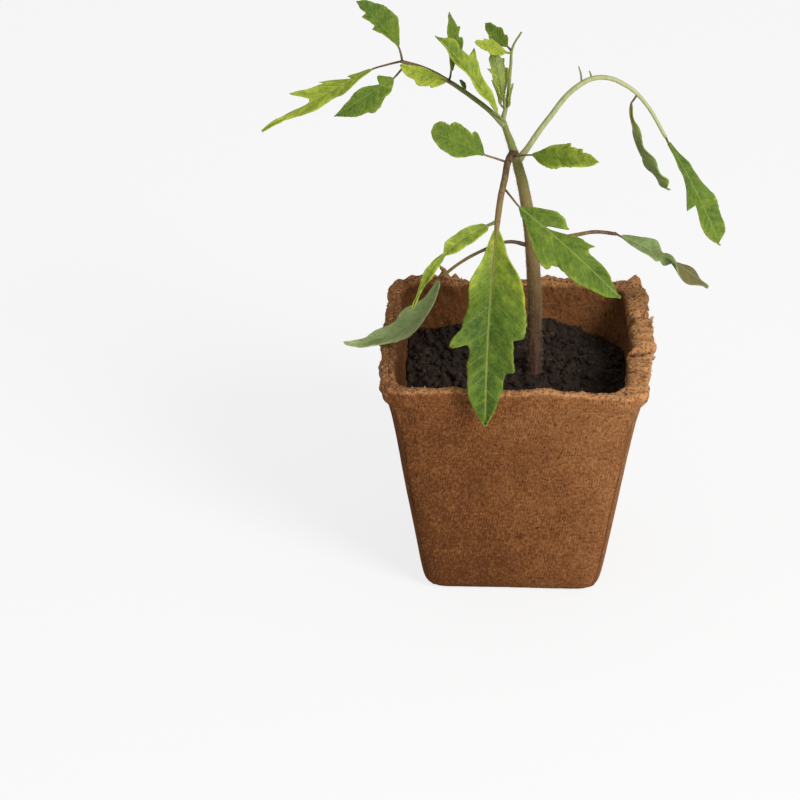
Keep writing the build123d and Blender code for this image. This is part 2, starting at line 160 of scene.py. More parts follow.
def hump(distance, spread):
    """1 at no distance, fading smoothly to nothing at about three spreads."""
    return exp(-((distance / spread) ** 2))


def rise(value, low, high):
    """0 below low and 1 above high, with a smooth step between."""
    share = min(max((value - low) / (high - low), 0), 1)
    return share * share * (3 - 2 * share)


def lumps(place, size, seed):
    """Smooth lumps of about one size, from -1 to 1."""
    return noise.noise(place / size + Vector((seed, 2 * seed, -seed)))


def wall_half_width(height):
    return FOOT_HALF_WIDTH + (TOP_HALF_WIDTH - FOOT_HALF_WIDTH) * height / LIP_LOW


def edit(piece):
    """Starts editing one piece, with nothing else selected."""
    bpy.ops.object.select_all(action="DESELECT")
    piece.select_set(True)
    bpy.context.view_layer.objects.active = piece
    bpy.ops.object.mode_set(mode="EDIT")


def finish_edit():
    bpy.ops.object.mode_set(mode="OBJECT")


def apply_modifier(piece, kind, **settings):
    bpy.ops.object.select_all(action="DESELECT")
    piece.select_set(True)
    bpy.context.view_layer.objects.active = piece
    modifier = piece.modifiers.new(kind, kind)
    for name, value in settings.items():
        setattr(modifier, name, value)
    bpy.ops.object.modifier_apply(modifier=modifier.name)


def add_values(piece, name, values):
    """Stores one number for each corner point, for the finish to read."""
    attribute = piece.data.attributes.new(name, "FLOAT", "POINT")
    attribute.data.foreach_set("value", values)


def shade_smooth(piece):
    for face in piece.data.polygons:
        face.use_smooth = True


def extrude_profile(profile):
    """Draws the selected outline up or down through rings of half width and height."""
    for (half, height), (next_half, next_height) in zip(profile, profile[1:]):
        bpy.ops.mesh.extrude_edges_move(TRANSFORM_OT_translate={"value": (0, 0, next_height - height)})
        share = next_half / half
        bpy.ops.transform.resize(value=(share, share, 1), center_override=(0, 0, next_height))


outside = [(wall_half_width(height), height) for height in OUTSIDE_HEIGHTS]
inside = [(wall_half_width(height) - WALL, height) for height in INSIDE_HEIGHTS]
foot_core = FOOT_HALF_WIDTH - FOOT_RADIUS
foot_turns = [radians(turn) for turn in FOOT_TURNS]
foot = [(foot_core + FOOT_RADIUS * sin(turn), FOOT_RADIUS * (1 - cos(turn))) for turn in foot_turns]
lip = [(TOP_HALF_WIDTH + LIP_OVERHANG * out, LIP_LOW + LIP_HEIGHT * up) for out, up in LIP_SHARES]
floor_rings = [(FOOT_HALF_WIDTH * share, FLOOR) for share in FLOOR_RING_SHARES]
base_rings = [(foot[0][0] * share, 0) for share in BASE_RING_SHARES]
first_corner_radius = FOOT_CORNER_RADIUS * BASE_RING_SHARES[0]
pot_profile = base_rings + foot + outside + lip + inside + floor_rings

bpy.ops.object.select_all(action="DESELECT")
bpy.ops.mesh.primitive_plane_add(size=2 * pot_profile[0][0])
pot = bpy.context.object
pot.name = "pot_shell"
edit(pot)
bpy.ops.mesh.select_all(action="SELECT")
bpy.ops.mesh.bevel(offset=first_corner_radius, segments=CORNER_STEPS, affect="VERTICES")
bpy.ops.mesh.select_all(action="DESELECT")
outline = bmesh.from_edit_mesh(pot.data)
for edge in outline.edges:
    edge.select_set(edge.calc_length() > first_corner_radius)
bmesh.update_edit_mesh(pot.data)
bpy.ops.mesh.subdivide(number_cuts=SIDE_CUTS)
bpy.ops.mesh.select_all(action="SELECT")
bpy.ops.mesh.region_to_loop()
extrude_profile(pot_profile)

# The two ends are closed only after smoothing, which is slow on faces with hundreds of sides
bpy.ops.mesh.select_all(action="DESELECT")
bpy.ops.mesh.select_face_by_sides(number=4, type="GREATER", extend=False)
bpy.ops.mesh.delete(type="ONLY_FACE")
finish_edit()
apply_modifier(pot, "SUBSURF", levels=2, render_levels=2)
edit(pot)
bpy.ops.mesh.select_all(action="SELECT")
bpy.ops.mesh.fill_holes(sides=0)
bpy.ops.mesh.select_all(action="SELECT")
bpy.ops.mesh.normals_make_consistent(inside=False)
finish_edit()


def roughness(place, kinds, seed):
    """How far the skin stands out at a place, from lumps of several sizes."""
    return sum(depth * lumps(place, size, seed + 7 * number) for number, (depth, size) in enumerate(kinds))


def shaped_pot(place, out):
    """A point of the plain pot on the rough, torn one, and how torn, pitted and far inside it is, the pit
    share being how much painted shade it takes.
    """
    side = Vector((place.x, place.y, 0)).normalized()
    reach = max(abs(place.x), abs(place.y))
    on_lip = rise(place.z, *LIP_RUN)
    top = rise(place.z, *LIP_TOP_RUN)
    is_inner = reach < wall_half_width(place.z) - WALL * INNER_SHARE and place.z > FLOOR / 2
    is_front = place.y < FRONT_PLACE and abs(place.x) < -place.y
    has_thin_edge = is_front or place.y > SIDE_PLACE
    edge = rise(place.z, *LIP_EDGE_RUN) if has_thin_edge else top
    across_front = 1 - rise(abs(place.x), *FRONT_RUN)

    moved = place.copy()
    skin = INSIDE_ROUGH if is_inner else OUTSIDE_ROUGH
    lip_share = LIP_ROUGH_FRONT if is_front else LIP_ROUGH_REST
    moved += out * roughness(place, skin, 3) * (1 - on_lip)
    moved += out * roughness(place, LIP_ROUGH, 17) * on_lip * lip_share
    moved += side * roughness(place, EDGE_ROUGH, 29) * top
    moved.z += roughness(place, EDGE_ROUGH, 43) * top
    moved += side * LIP_WAVE * on_lip * lumps(place, LIP_WAVE_SIZE, 14)

    if place.x > SIDE_PLACE:
        bow = RIGHT_BOW * hump(place.y - RIGHT_BOW_PLACE, RIGHT_BOW_SPREAD)
        step = rise(RIGHT_STEP_FAR - place.y, 0, RIGHT_STEP_RUN) * rise(place.y, *RIGHT_STEP_NEAR)
        moved.x += (bow + RIGHT_STEP * step) * on_lip
        moved.x -= RIGHT_FOLD * on_lip * rise(wall_half_width(place.z) - reach, RIGHT_FOLD_START, WALL)
    if place.x < -SIDE_PLACE:
        moved.x -= LEFT_BOW * on_lip * hump(place.y - LEFT_BOW_PLACE, LEFT_BOW_SPREAD)
    if is_front and is_inner:
        moved.y -= FRONT_THINNING * rise(place.z, *FRONT_THIN_RUN) * across_front
    if is_front and not is_inner and FRONT_LEAN_LOW < place.z < FRONT_LEAN_END:
        lean = FRONT_LEAN * rise(place.z, FRONT_LEAN_LOW, FRONT_LEAN_FULL)
        lean *= 1 - FRONT_LEAN_LESS * rise(place.x, *FRONT_LEAN_LESS_RUN)
        moved.y = min(moved.y, -wall_half_width(place.z) - lean * across_front)
    pit = 0
    for x, y, height, spread in LIP_TEARS:
        near = hump((place.xy - Vector((x, y))).length, spread)
        if near > TEAR_NEAR:
            moved.z += height * near * top
            moved -= side * max(-height, 0) * TEAR_PULL * near * on_lip
            pit = max(pit, near * on_lip * rise(-height, *PIT_DEPTHS))
    torn = min(1, edge + (0 if has_thin_edge else LIP_TORN) * on_lip)
    return moved, torn, pit, float(is_inner)

shaped = [shaped_pot(vertex.co.copy(), vertex.normal.copy()) for vertex in pot.data.vertices]
for vertex, (moved, *_) in zip(pot.data.vertices, shaped):
    vertex.co = moved
for number, name in enumerate(["torn", "pit", "inner"], 1):
    add_values(pot, name, [values[number] for values in shaped])
shade_smooth(pot)


class Shade:
    """One socket of a finish. Sums on it add Math nodes, and node() adds any other kind of node."""

    def __init__(self, socket):
        self.socket = socket

    def node(self, kind, settings=(), inputs=(), output=None):
        tree = self.socket.id_data
        made = tree.nodes.new("ShaderNode" + kind)
        for name, value in dict(settings).items():
            setattr(made, name, value)
        for name, value in dict(inputs).items():
            if isinstance(name, int):
                socket = made.inputs[name]
            else:
                socket = next(s for s in made.inputs if s.name == name and s.enabled)
            if isinstance(value, Shade):
                tree.links.new(value.socket, socket)
            else:
                socket.default_value = value
        return Shade(next(s for s in made.outputs if s.enabled and output in (None, s.name)))

    def math(self, operation, *values):
        return self.node("Math", {"operation": operation}, dict(enumerate(values)))

    def __add__(self, other):
        return self.math("ADD", self, other)

    def __radd__(self, other):
        return self.math("ADD", other, self)

    def __sub__(self, other):
        return self.math("SUBTRACT", self, other)

    def __rsub__(self, other):
        return self.math("SUBTRACT", other, self)

    def __mul__(self, other):
        return self.math("MULTIPLY", self, other)

    def __abs__(self):
        return self.math("ABSOLUTE", self)

    def sine(self):
        return self.math("SINE", self)

    def fraction(self):
        return self.math("FRACT", self)

    def step(self, low, high):
        """0 below low and 1 above high, with a smooth step between."""
        ends = {"Value": self, "From Min": low, "From Max": high}
        return self.node("MapRange", {"interpolation_type": "SMOOTHSTEP"}, ends)

    def mix(self, one, two):
        """The colour one where this is 0 and two where it is 1."""
        return self.node("Mix", {"data_type": "RGBA"}, {"Factor": self, "A": one, "B": two})

    def noise(self, scale, detail=2.0, roughness=0.5):
        """Smooth noise from 0 to 1 over these coordinates."""
        inputs = {"Vector": self, "Scale": scale, "Detail": detail, "Roughness": roughness}
        return self.node("TexNoise", (), inputs, "Fac")

    def stretched(self, turn, size):
        """These coordinates turned and then stretched."""
        inputs = {"Vector": self, "Rotation": turn, "Scale": size}
        return self.node("Mapping", {"vector_type": "TEXTURE"}, inputs)

    def attribute(self, name):
        return self.node("Attribute", {"attribute_name": name}, (), "Fac")

    def part(self, axis):
        return self.node("SeparateXYZ", (), {"Vector": self}, axis)

    def bump(self, height):
        """A normal for relief of this height in metres, given by this shade from 0 to 1."""
        return self.node("Bump", (), {"Height": self, "Distance": height})

    def feed(self, socket):
        self.socket.id_data.links.new(self.socket, socket)


def new_finish(name, roughness, gloss=0.5):
    """A bare finish: its material, its shader's sockets and the piece's own coordinates."""
    material = bpy.data.materials.new(name)
    material.use_nodes = True
    sockets = material.node_tree.nodes["Principled BSDF"].inputs
    sockets["Roughness"].default_value = roughness
    sockets["Specular IOR Level"].default_value = gloss
    return material, sockets, Shade(material.node_tree.nodes.new("ShaderNodeTexCoord").outputs["Object"])


def colour(red, green, blue):
    return (red, green, blue, 1.0)


PEAT_MID = colour(0.235, 0.089, 0.028)
PEAT_DEEP = colour(0.115, 0.038, 0.0105)
PEAT_LIGHT = colour(0.40, 0.185, 0.075)
PEAT_INSIDE_SHADE = colour(0.20, 0.080, 0.027)
PEAT_TORN = colour(0.65, 0.315, 0.13)
PEAT_FLECK_AND_PIT_SHADE = colour(0.035, 0.014, 0.006)
PEAT_FIBRE = colour(0.48, 0.26, 0.125)
WEAVE_ACROSS = 0.0009
WEAVE_UP = 0.0014

peat, peat_sockets, peat_place = new_finish("peat_fibre", 0.95, 0.1)
peat_torn = peat_place.attribute("torn")
peat_inner = peat_place.attribute("inner")
pit_painted_shade = peat_place.attribute("pit")
peat_flat = (1 - peat_torn) * (1 - peat_inner)
around = peat_place.part("X") + peat_place.part("Y")
ribs = (around * (2 * pi / WEAVE_ACROSS) + peat_place.noise(210, 2) * 7).sine()
rows = (peat_place.part("Z") * (2 * pi / WEAVE_UP) + peat_place.noise(190, 2) * 7).sine()
weave = (ribs * 0.3 + rows * 0.16) * peat_place.noise(130, 2).step(0.3, 0.65) * peat_flat + 0.5
grain = peat_place.stretched((0, 0, 0), (1, 1, 1.4)).noise(1150, 4, 0.75)
broad = peat_place.noise(48, 3, 0.55)
patches = peat_place.noise(170, 3, 0.6)
# Painted shade: the peat is made steadily darker towards the left side and towards the foot.
painted_side_shade = peat_place.part("X") * 7.5 + peat_place.part("Z") * 3.2 - 0.23
tone = grain * 2.0 + weave * 0.26 + broad * 0.45 + patches * 0.45 + painted_side_shade - 1.06
peat_colour = tone.step(0.1, 0.6).mix(PEAT_DEEP, PEAT_MID)
peat_colour = tone.step(0.5, 1.1).mix(peat_colour, PEAT_LIGHT)
# Painted shade: the inside walls take a darker colour that stands for the shade inside the pot.
peat_colour = (peat_inner * (1 - peat_torn) * 0.55).mix(peat_colour, PEAT_INSIDE_SHADE)
peat_colour = (peat_torn * (tone.step(0.05, 0.75) * 0.6 + 0.35)).mix(peat_colour, PEAT_TORN)
for turn, share in [((0.3, 0.7, 0.4), 0.35), ((1.1, -0.6, 0.9), 0.3), ((-0.5, 0.2, 1.4), 0.3)]:
    fibres = peat_place.stretched(turn, (1, 1, 5)).noise(1900, 1)
    peat_colour = (fibres.step(0.68, 0.76) * share).mix(peat_colour, PEAT_FIBRE)
peat_colour = (peat_place.noise(1050, 1).step(0.62, 0.72) * 0.55).mix(peat_colour, PEAT_FLECK_AND_PIT_SHADE)
peat_colour = (peat_place.noise(430, 2).step(0.71, 0.76) * 0.8).mix(peat_colour, PEAT_FLECK_AND_PIT_SHADE)
peat_colour = (peat_inner * patches.step(0.55, 0.7) * 0.55).mix(peat_colour, PEAT_FLECK_AND_PIT_SHADE)
peat_colour = (peat_torn * peat_place.noise(1100, 2).step(0.52, 0.64) * 0.75).mix(peat_colour, PEAT_DEEP)
# Painted shade: the pits of the torn-down tears are darkened almost to black, in the colour of the real
# flecks.
peat_colour = (pit_painted_shade.step(0.15, 0.7) * 0.92).mix(peat_colour, PEAT_FLECK_AND_PIT_SHADE)
peat_colour.feed(peat_sockets["Base Color"])
peat_relief = weave * 0.32 + grain * (0.8 + peat_torn * 0.8 + peat_inner * 0.8)
peat_relief += peat_inner * peat_place.noise(420, 3, 0.6) * 2.0
peat_relief.bump(0.0005).feed(peat_sockets["Normal"])
pot.data.materials.append(peat)
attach(pot, "root")
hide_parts("peat_pot")


def scattered(name, pattern, places):
    """One mesh of many copies of a small pattern piece, which itself goes."""
    corners = [vertex.co.copy() for vertex in pattern.data.vertices]
    faces = [tuple(face.vertices) for face in pattern.data.polygons]
    points, polygons = [], []
    for place in places:
        first = len(points)
        points += [place @ corner for corner in corners]
        polygons += [tuple(first + number for number in face) for face in faces]
    mesh = bpy.data.meshes.new(name)
    mesh.from_pydata(points, [], polygons)
    piece = bpy.data.objects.new(name, mesh)
    bpy.context.collection.objects.link(piece)
    bpy.data.objects.remove(pattern)
    shade_smooth(piece)
    return piece


def placing(place, towards, size):
    """A matrix that stands a pattern's Z axis along a direction at a place, in its own size."""
    turn = towards.to_track_quat("Z", "Y").to_matrix().to_4x4()
    return Matrix.Translation(place) @ turn @ Matrix.Diagonal((*size, 1))


# Torn fibres
# Loose ends of wood fibre that stand out of the lip where the wet sheet tore.
RIM_FIBRES = 320
RIM_FIBRE_LENGTHS = 0.0004, 0.0013
RIM_FIBRE_RADIUS = 0.00006
RIM_TORN = 0.75

rim_points = [v for v, (_, torn, *_) in zip(pot.data.vertices, shaped) if torn > RIM_TORN]
fibre_places = []
for number in range(RIM_FIBRES):
    root_point = chance.choice(rim_points)
    towards = root_point.normal + Vector([chance.uniform(-1, 1) for _ in range(3)])
    length = chance.uniform(*RIM_FIBRE_LENGTHS)
    fibre_places.append(placing(root_point.co, towards, (RIM_FIBRE_RADIUS, RIM_FIBRE_RADIUS, length)))
bpy.ops.object.select_all(action="DESELECT")
bpy.ops.mesh.primitive_cone_add(vertices=3, radius1=1, radius2=0.3, depth=1, location=(0, 0, 0.4))
bpy.ops.object.transform_apply(location=True)
rim_fibres = scattered("lip_fibres", bpy.context.object, fibre_places)

# Flakes are scraps of the sheet that hang on at the tears: near what place, way they point, and half sizes
FLAKES = [
    ((0.0450, -0.0083, 0.0785), (1, -0.25, 0.25), (0.0004, 0.0013, 0.0020)),
    ((0.0440, -0.0110, 0.0795), (0.5, -0.7, 0.6), (0.0003, 0.0010, 0.0017)),
    ((0.0452, 0.0159, 0.0795), (0.7, 0.5, 0.7), (0.0003, 0.0010, 0.0016)),
    ((0.0430, 0.0172, 0.0800), (0.2, 0.8, 0.6), (0.0003, 0.0009, 0.0014)),
    ((-0.0246, 0.0420, 0.0830), (-0.7, 0, 1), (0.0004, 0.0008, 0.0022)),
    ((-0.0270, 0.0415, 0.0815), (-1, 0.1, 0.6), (0.0003, 0.0007, 0.0020)),
    ((-0.0438, -0.0050, 0.0785), (-1, -0.2, 0.4), (0.0004, 0.0009, 0.0015)),
]
CHIPS = 200
CHIP_SIZES = 0.00018, 0.00062
CHIP_SHAPE_SHARES = 0.45, 0.8, 1
CHIP_TILT = 1.2

flake_places = []
for near_place, towards, size in FLAKES:
    root_point = min(rim_points, key=lambda point: (point.co - Vector(near_place)).length)
    flake_places.append(placing(root_point.co, Vector(towards), size))
for number in range(CHIPS):
    root_point = chance.choice(rim_points)
    towards = root_point.normal + CHIP_TILT * Vector([chance.uniform(-1, 1) for _ in range(3)])
    size = CHIP_SIZES[0] + (CHIP_SIZES[1] - CHIP_SIZES[0]) * chance.random() ** 2
    chip_sizes = [size * share for share in CHIP_SHAPE_SHARES]
    flake_places.append(placing(root_point.co, towards, chip_sizes))
bpy.ops.object.select_all(action="DESELECT")
bpy.ops.mesh.primitive_ico_sphere_add(subdivisions=1, radius=1)
rim_flakes = scattered("lip_flakes", bpy.context.object, flake_places)

TORN_FIBRE = colour(0.42, 0.24, 0.12)
TORN_FIBRE_PALE = colour(0.50, 0.31, 0.165)
TORN_FIBRE_DARK = colour(0.05, 0.021, 0.009)
fibre_finish, fibre_sockets, fibre_place = new_finish("torn_fibre", 0.85, 0.2)
fibre_colour = fibre_place.noise(300, 1).mix(TORN_FIBRE, TORN_FIBRE_PALE)
fibre_colour = fibre_place.noise(170, 1).step(0.56, 0.64).mix(fibre_colour, TORN_FIBRE_DARK)
fibre_colour.feed(fibre_sockets["Base Color"])
for piece in [rim_fibres, rim_flakes]:
    piece.data.materials.append(fibre_finish)
    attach(piece, "root")


# Compost
# A loose fill of dark, damp compost, tipped in round the roots and left crumbly on top.
# It stands highest behind the stem and falls away into the back right corner.
COMPOST_EDGE = 0.0640
COMPOST_TOP = 0.0670
COMPOST_CLEARANCE = 0.0003
COMPOST_CELLS = 170
MOUND_PLACE = Vector((0.0062, 0.016))
MOUND_RADIUS = 0.278
COMPOST_CORNER_RADIUS = 0.0035
HEAPS = [
    (0.0110, 0.0340, 0.0034, 0.0042),
    (-0.0200, 0.0340, 0.0012, 0.0110),
    (0.0330, 0.0330, -0.0044, 0.0110),
    (0.0260, 0.0080, 0.0016, 0.0070),
    (-0.0220, 0.0020, -0.0014, 0.0090),
    (0.0080, -0.0090, 0.0012, 0.0050),
    (0.0190, -0.0250, 0.0014, 0.0070),
    (-0.0100, 0.0180, 0.0014, 0.0060),
]
CLOD_ROUGH = [(0.0016, 0.0075), (0.0012, 0.0036), (0.0007, 0.0018), (0.00035, 0.0009)]
fill_half_width = wall_half_width(COMPOST_EDGE) - WALL - COMPOST_CLEARANCE


def ground(x, y):
    """Height of the compost's crumbly top."""
    off = (Vector((x, y)) - MOUND_PLACE).length
    height = COMPOST_TOP - off * off / (2 * MOUND_RADIUS)
    for heap_x, heap_y, heap, spread in HEAPS:
        height += heap * hump((Vector((x, y)) - Vector((heap_x, heap_y))).length, spread)
    return height + roughness(Vector((x, y, 0)), CLOD_ROUGH, 31)


def rounded(x, y, half, radius):
    """Moves a point of a square in, so that the square's corners become round."""
    core = half - radius
    over = Vector((max(abs(x) - core, 0), max(abs(y) - core, 0)))
    if over.x and over.y:
        over *= max(over) / over.length
    turn_x, turn_y = (1 if x > 0 else -1), (1 if y > 0 else -1)
    return turn_x * (min(abs(x), core) + over.x), turn_y * (min(abs(y), core) + over.y)


bpy.ops.object.select_all(action="DESELECT")
bpy.ops.mesh.primitive_grid_add(
    x_subdivisions=COMPOST_CELLS, y_subdivisions=COMPOST_CELLS, size=2 * fill_half_width
)
compost = bpy.context.object
compost.name = "compost_fill"
for vertex in compost.data.vertices:
    x, y = rounded(vertex.co.x, vertex.co.y, fill_half_width, COMPOST_CORNER_RADIUS)
    vertex.co = x, y, ground(x, y)
compost_base = FLOOR + COMPOST_CLEARANCE
base_half_width = wall_half_width(compost_base) - WALL - COMPOST_CLEARANCE
edit(compost)
bpy.ops.mesh.select_all(action="SELECT")
bpy.ops.mesh.region_to_loop()
extrude_profile([(fill_half_width, COMPOST_EDGE), (base_half_width, compost_base)])
bpy.ops.transform.resize(value=(1, 1, 0), center_override=(0, 0, compost_base))
bpy.ops.mesh.edge_face_add()
bpy.ops.mesh.select_all(action="SELECT")
bpy.ops.mesh.normals_make_consistent(inside=False)
finish_edit()
shade_smooth(compost)

# Crumbs are lumpy beads with a few faces, in a few shapes
CRUMBS = 2800
CRUMB_SIZES = 0.00025, 0.0016
CRUMB_SHAPES = 4
CRUMB_EDGE_GAP = 0.001
CRUMB_LUMPS = 0.45
crumb_pieces = []
for shape in range(CRUMB_SHAPES):
    crumb_places = []
    for number in range(CRUMBS // CRUMB_SHAPES):
        x = chance.uniform(-1, 1) * (fill_half_width - CRUMB_EDGE_GAP)
        y = chance.uniform(-1, 1) * (fill_half_width - CRUMB_EDGE_GAP)
        x, y = rounded(x, y, fill_half_width, COMPOST_CORNER_RADIUS)
        size = CRUMB_SIZES[0] + (CRUMB_SIZES[1] - CRUMB_SIZES[0]) * chance.random() ** 4
        turn = Euler([chance.uniform(0, 2 * pi) for _ in range(3)]).to_matrix().to_4x4()
        shift = Matrix.Translation((x, y, ground(x, y) + size * chance.uniform(-0.2, 0.7)))
        stretch = Matrix.Diagonal((size, size * chance.uniform(0.6, 1), size * chance.uniform(0.5, 0.9), 1))
        crumb_places.append(shift @ turn @ stretch)
    bpy.ops.object.select_all(action="DESELECT")
    bpy.ops.mesh.primitive_ico_sphere_add(subdivisions=2, radius=1)
    crumb = bpy.context.object
    for vertex in crumb.data.vertices:
        vertex.co *= 1 + CRUMB_LUMPS * lumps(vertex.co, 0.7, 41 + shape)
    crumb_pieces.append(scattered(f"compost_crumbs_{shape + 1}", crumb, crumb_places))

# Strands are short curved bits of root and bark fibre that lie on top
STRANDS = 110
STRAND_SIZES = 0.0011, 0.0034
STRAND_SHARE = 0.035
STRAND_TURN = 1.7
STRAND_TILT = 0.35
STRAND_LIFT = 0.0006
STRAND_EDGE_GAP = 0.003
STRAND_MIDDLE = Vector((0.66, 0.75, 0))

strand_places = []
for number in range(STRANDS):
    x, y = [chance.uniform(-1, 1) * (fill_half_width - STRAND_EDGE_GAP) for _ in range(2)]
    tilt = chance.gauss(0, STRAND_TILT), chance.gauss(0, STRAND_TILT), chance.uniform(0, 2 * pi)
    turn = Euler(tilt).to_matrix().to_4x4()
    lift = Matrix.Translation((x, y, ground(x, y) + STRAND_LIFT))
    strand_places.append(lift @ turn @ Matrix.Scale(chance.uniform(*STRAND_SIZES), 4))
bpy.ops.object.select_all(action="DESELECT")
bpy.ops.mesh.primitive_circle_add(
    vertices=4, radius=STRAND_SHARE, fill_type="NGON", location=(1, 0, 0), rotation=(pi / 2, 0, 0)
)
bpy.ops.object.transform_apply(location=True, rotation=True)
strand = bpy.context.object
edit(strand)
bpy.ops.mesh.select_all(action="SELECT")
bpy.ops.mesh.spin(steps=5, angle=STRAND_TURN, center=(0, 0, 0), axis=(0, 0, 1))
bpy.ops.mesh.select_all(action="SELECT")
bpy.ops.mesh.normals_make_consistent(inside=False)
finish_edit()
for vertex in strand.data.vertices:
    vertex.co -= STRAND_MIDDLE
strands = scattered("compost_strands", strand, strand_places)

COMPOST_DARK = colour(0.0090, 0.0056, 0.0038)
COMPOST_BROWN = colour(0.052, 0.0300, 0.0190)
COMPOST_BIT = colour(0.105, 0.068, 0.048)
STRAND_GREY = colour(0.075, 0.052, 0.042)
soil, soil_sockets, soil_place = new_finish("compost", 0.9, 0.3)
soil_grain = soil_place.noise(900, 4, 0.7)
soil_patch = soil_place.noise(160, 3, 0.6)
soil_colour = (soil_grain * 0.7 + soil_patch * 0.6 - 0.15).step(0.2, 0.85).mix(COMPOST_DARK, COMPOST_BROWN)
soil_colour = (soil_place.noise(700, 1).step(0.68, 0.74) * 0.6).mix(soil_colour, COMPOST_BIT)
soil_colour.feed(soil_sockets["Base Color"])
(soil_grain + soil_place.noise(2600, 2) * 0.5).bump(0.0007).feed(soil_sockets["Normal"])
strand_finish, strand_sockets, strand_place = new_finish("compost_strand", 0.8, 0.3)
strand_colour = strand_place.noise(300, 2).step(0.35, 0.65).mix(COMPOST_BROWN, STRAND_GREY)
strand_colour.feed(strand_sockets["Base Color"])
strands.data.materials.append(strand_finish)
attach(strands, "root")
for piece in [compost, *crumb_pieces]:
    piece.data.materials.append(soil)
    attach(piece, "root")
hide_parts("compost")


# Shoots
# Every root, stem, stalk and leaf neck is a round tapering shoot along a smooth line.
SHOOT_STEPS = 8


def smooth_line(points, steps=SHOOT_STEPS):
    """A curve object through points, with smooth handles."""
    curve = bpy.data.curves.new("line", "CURVE")
    curve.dimensions = "3D"
    curve.resolution_u = steps
    spline = curve.splines.new("BEZIER")
    spline.bezier_points.add(len(points) - 1)
    for knot, point in zip(spline.bezier_points, points):
        knot.co = point
        knot.handle_left_type = knot.handle_right_type = "AUTO"
    piece = bpy.data.objects.new("line", curve)
    bpy.context.collection.objects.link(piece)
    return piece


def points_on(points):
    """Points along the smooth line through some points, close together."""
    line = smooth_line(points, 24)
    bpy.context.view_layer.update()
    mesh = bpy.data.meshes.new_from_object(line)
    found = [vertex.co.copy() for vertex in mesh.vertices]
    bpy.data.objects.remove(line)
    return found


def at_share(path, share):
    """The point at a share of a path's length."""
    lengths = [(b - a).length for a, b in zip(path, path[1:])]
    left = share * sum(lengths)
    for start, end, length in zip(path, path[1:], lengths):
        if left <= length:
            return start.lerp(end, left / length)
        left -= length
    return path[-1]


def shoot(name, points, radii, sides=3):
    """A round shoot through points, with a radius at each."""
    piece = smooth_line(points)
    piece.name = name
    piece.data.bevel_depth = 1
    piece.data.bevel_resolution = sides
    piece.data.use_fill_caps = True
    for knot, radius in zip(piece.data.splines[0].bezier_points, radii):
        knot.radius = radius
    bpy.ops.object.select_all(action="DESELECT")
    piece.select_set(True)
    bpy.context.view_layer.objects.active = piece
    bpy.ops.object.convert(target="MESH")
    piece = bpy.context.object
    edit(piece)
    bpy.ops.mesh.select_all(action="SELECT")
    bpy.ops.mesh.remove_doubles(threshold=0.00001)
    bpy.ops.mesh.normals_make_consistent(inside=False)
    finish_edit()
    shade_smooth(piece)
    return piece


def joined(name, pieces):
    """Several pieces as one, under the first one's materials and then the others'."""
    bpy.ops.object.select_all(action="DESELECT")
    for piece in pieces:
        piece.select_set(True)
    bpy.context.view_layer.objects.active = pieces[0]
    bpy.ops.object.join()
    pieces[0].name = name
    return pieces[0]


def direction(heading, pitch):
    turn, up = radians(heading), radians(pitch)
    return Vector((cos(up) * cos(turn), cos(up) * sin(turn), sin(up)))


def tapered(start, end, count):
    """Radii for a shoot, from one to another."""
    return [start + (end - start) * number / (count - 1) for number in range(count)]


# Roots
# A pale tap root goes down from the stem's collar, with side roots round it in a spiral.
STEM_FOOT = Vector((0.0062, 0.001, 0.0666))
COLLAR_DEPTH = 0.006
TAP_ROOT_FLOOR_GAP = 0.0135
TAP_ROOT_RADII = 0.0017, 0.0006
SIDE_ROOTS = 8
SIDE_ROOT_LENGTH = 0.020
SIDE_ROOT_RADII = 0.00075, 0.0003
SIDE_ROOT_TURN = 137.5
SIDE_ROOT_PITCH = -25
SIDE_ROOT_SHARES = 0.12, 0.86
ROOT_WANDER = 0.0012

collar = STEM_FOOT - Vector((0, 0, COLLAR_DEPTH))
tap_end = Vector((collar.x, collar.y, FLOOR + TAP_ROOT_FLOOR_GAP))


def wandering(start, end, count):
    """Points on a line that wanders a little between its ends."""
    points = [start.lerp(end, number / (count - 1)) for number in range(count)]
    for point in points[1:]:
        point += ROOT_WANDER * Vector([chance.uniform(-1, 1) for _ in range(3)])
    return points


tap_points = wandering(collar, tap_end, 7)
tap_path = points_on(tap_points)
roots = [shoot("tap_root", tap_points, tapered(*TAP_ROOT_RADII, len(tap_points)))]
for number in range(SIDE_ROOTS):
    first, last = SIDE_ROOT_SHARES
    start = at_share(tap_path, first + (last - first) * number / (SIDE_ROOTS - 1))
    end = start + direction(SIDE_ROOT_TURN * number, SIDE_ROOT_PITCH) * SIDE_ROOT_LENGTH
    side_points = wandering(start, end, 6)
    roots.append(shoot("side_root", side_points, tapered(*SIDE_ROOT_RADII, len(side_points)), 2))
root_system = joined("roots", roots)

ROOT_PALE = colour(0.62, 0.53, 0.38)
ROOT_BROWN = colour(0.36, 0.26, 0.15)
root_finish, root_sockets, root_place = new_finish("root", 0.8, 0.3)
root_place.noise(250, 3).step(0.3, 0.75).mix(ROOT_PALE, ROOT_BROWN).feed(root_sockets["Base Color"])
root_place.noise(900, 2).bump(0.0002).feed(root_sockets["Normal"])
root_system.data.materials.append(root_finish)
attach(root_system, "root")
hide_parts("root_system")


# Stem
# A soft, downy stem, purple-brown where it leaves the compost and greener as it climbs.
# It leans left near the top, where the leaf stalks leave it.
STEM_HEIGHT = 0.0905
STEM_PATH_SHARES = [
    (0.0, 0.0, 0.0), (-0.006, 0.0, 0.36), (-0.036, 0.0, 0.66), (-0.07, 0.0, 0.82), (-0.128, 0.0, 1.0),
]
STEM_RADII = 0.0026, 0.00255, 0.0024, 0.00205, 0.0017, 0.0009
STEM_ROUGH = 0.00012
STEM_ROUGH_SIZE = 0.003


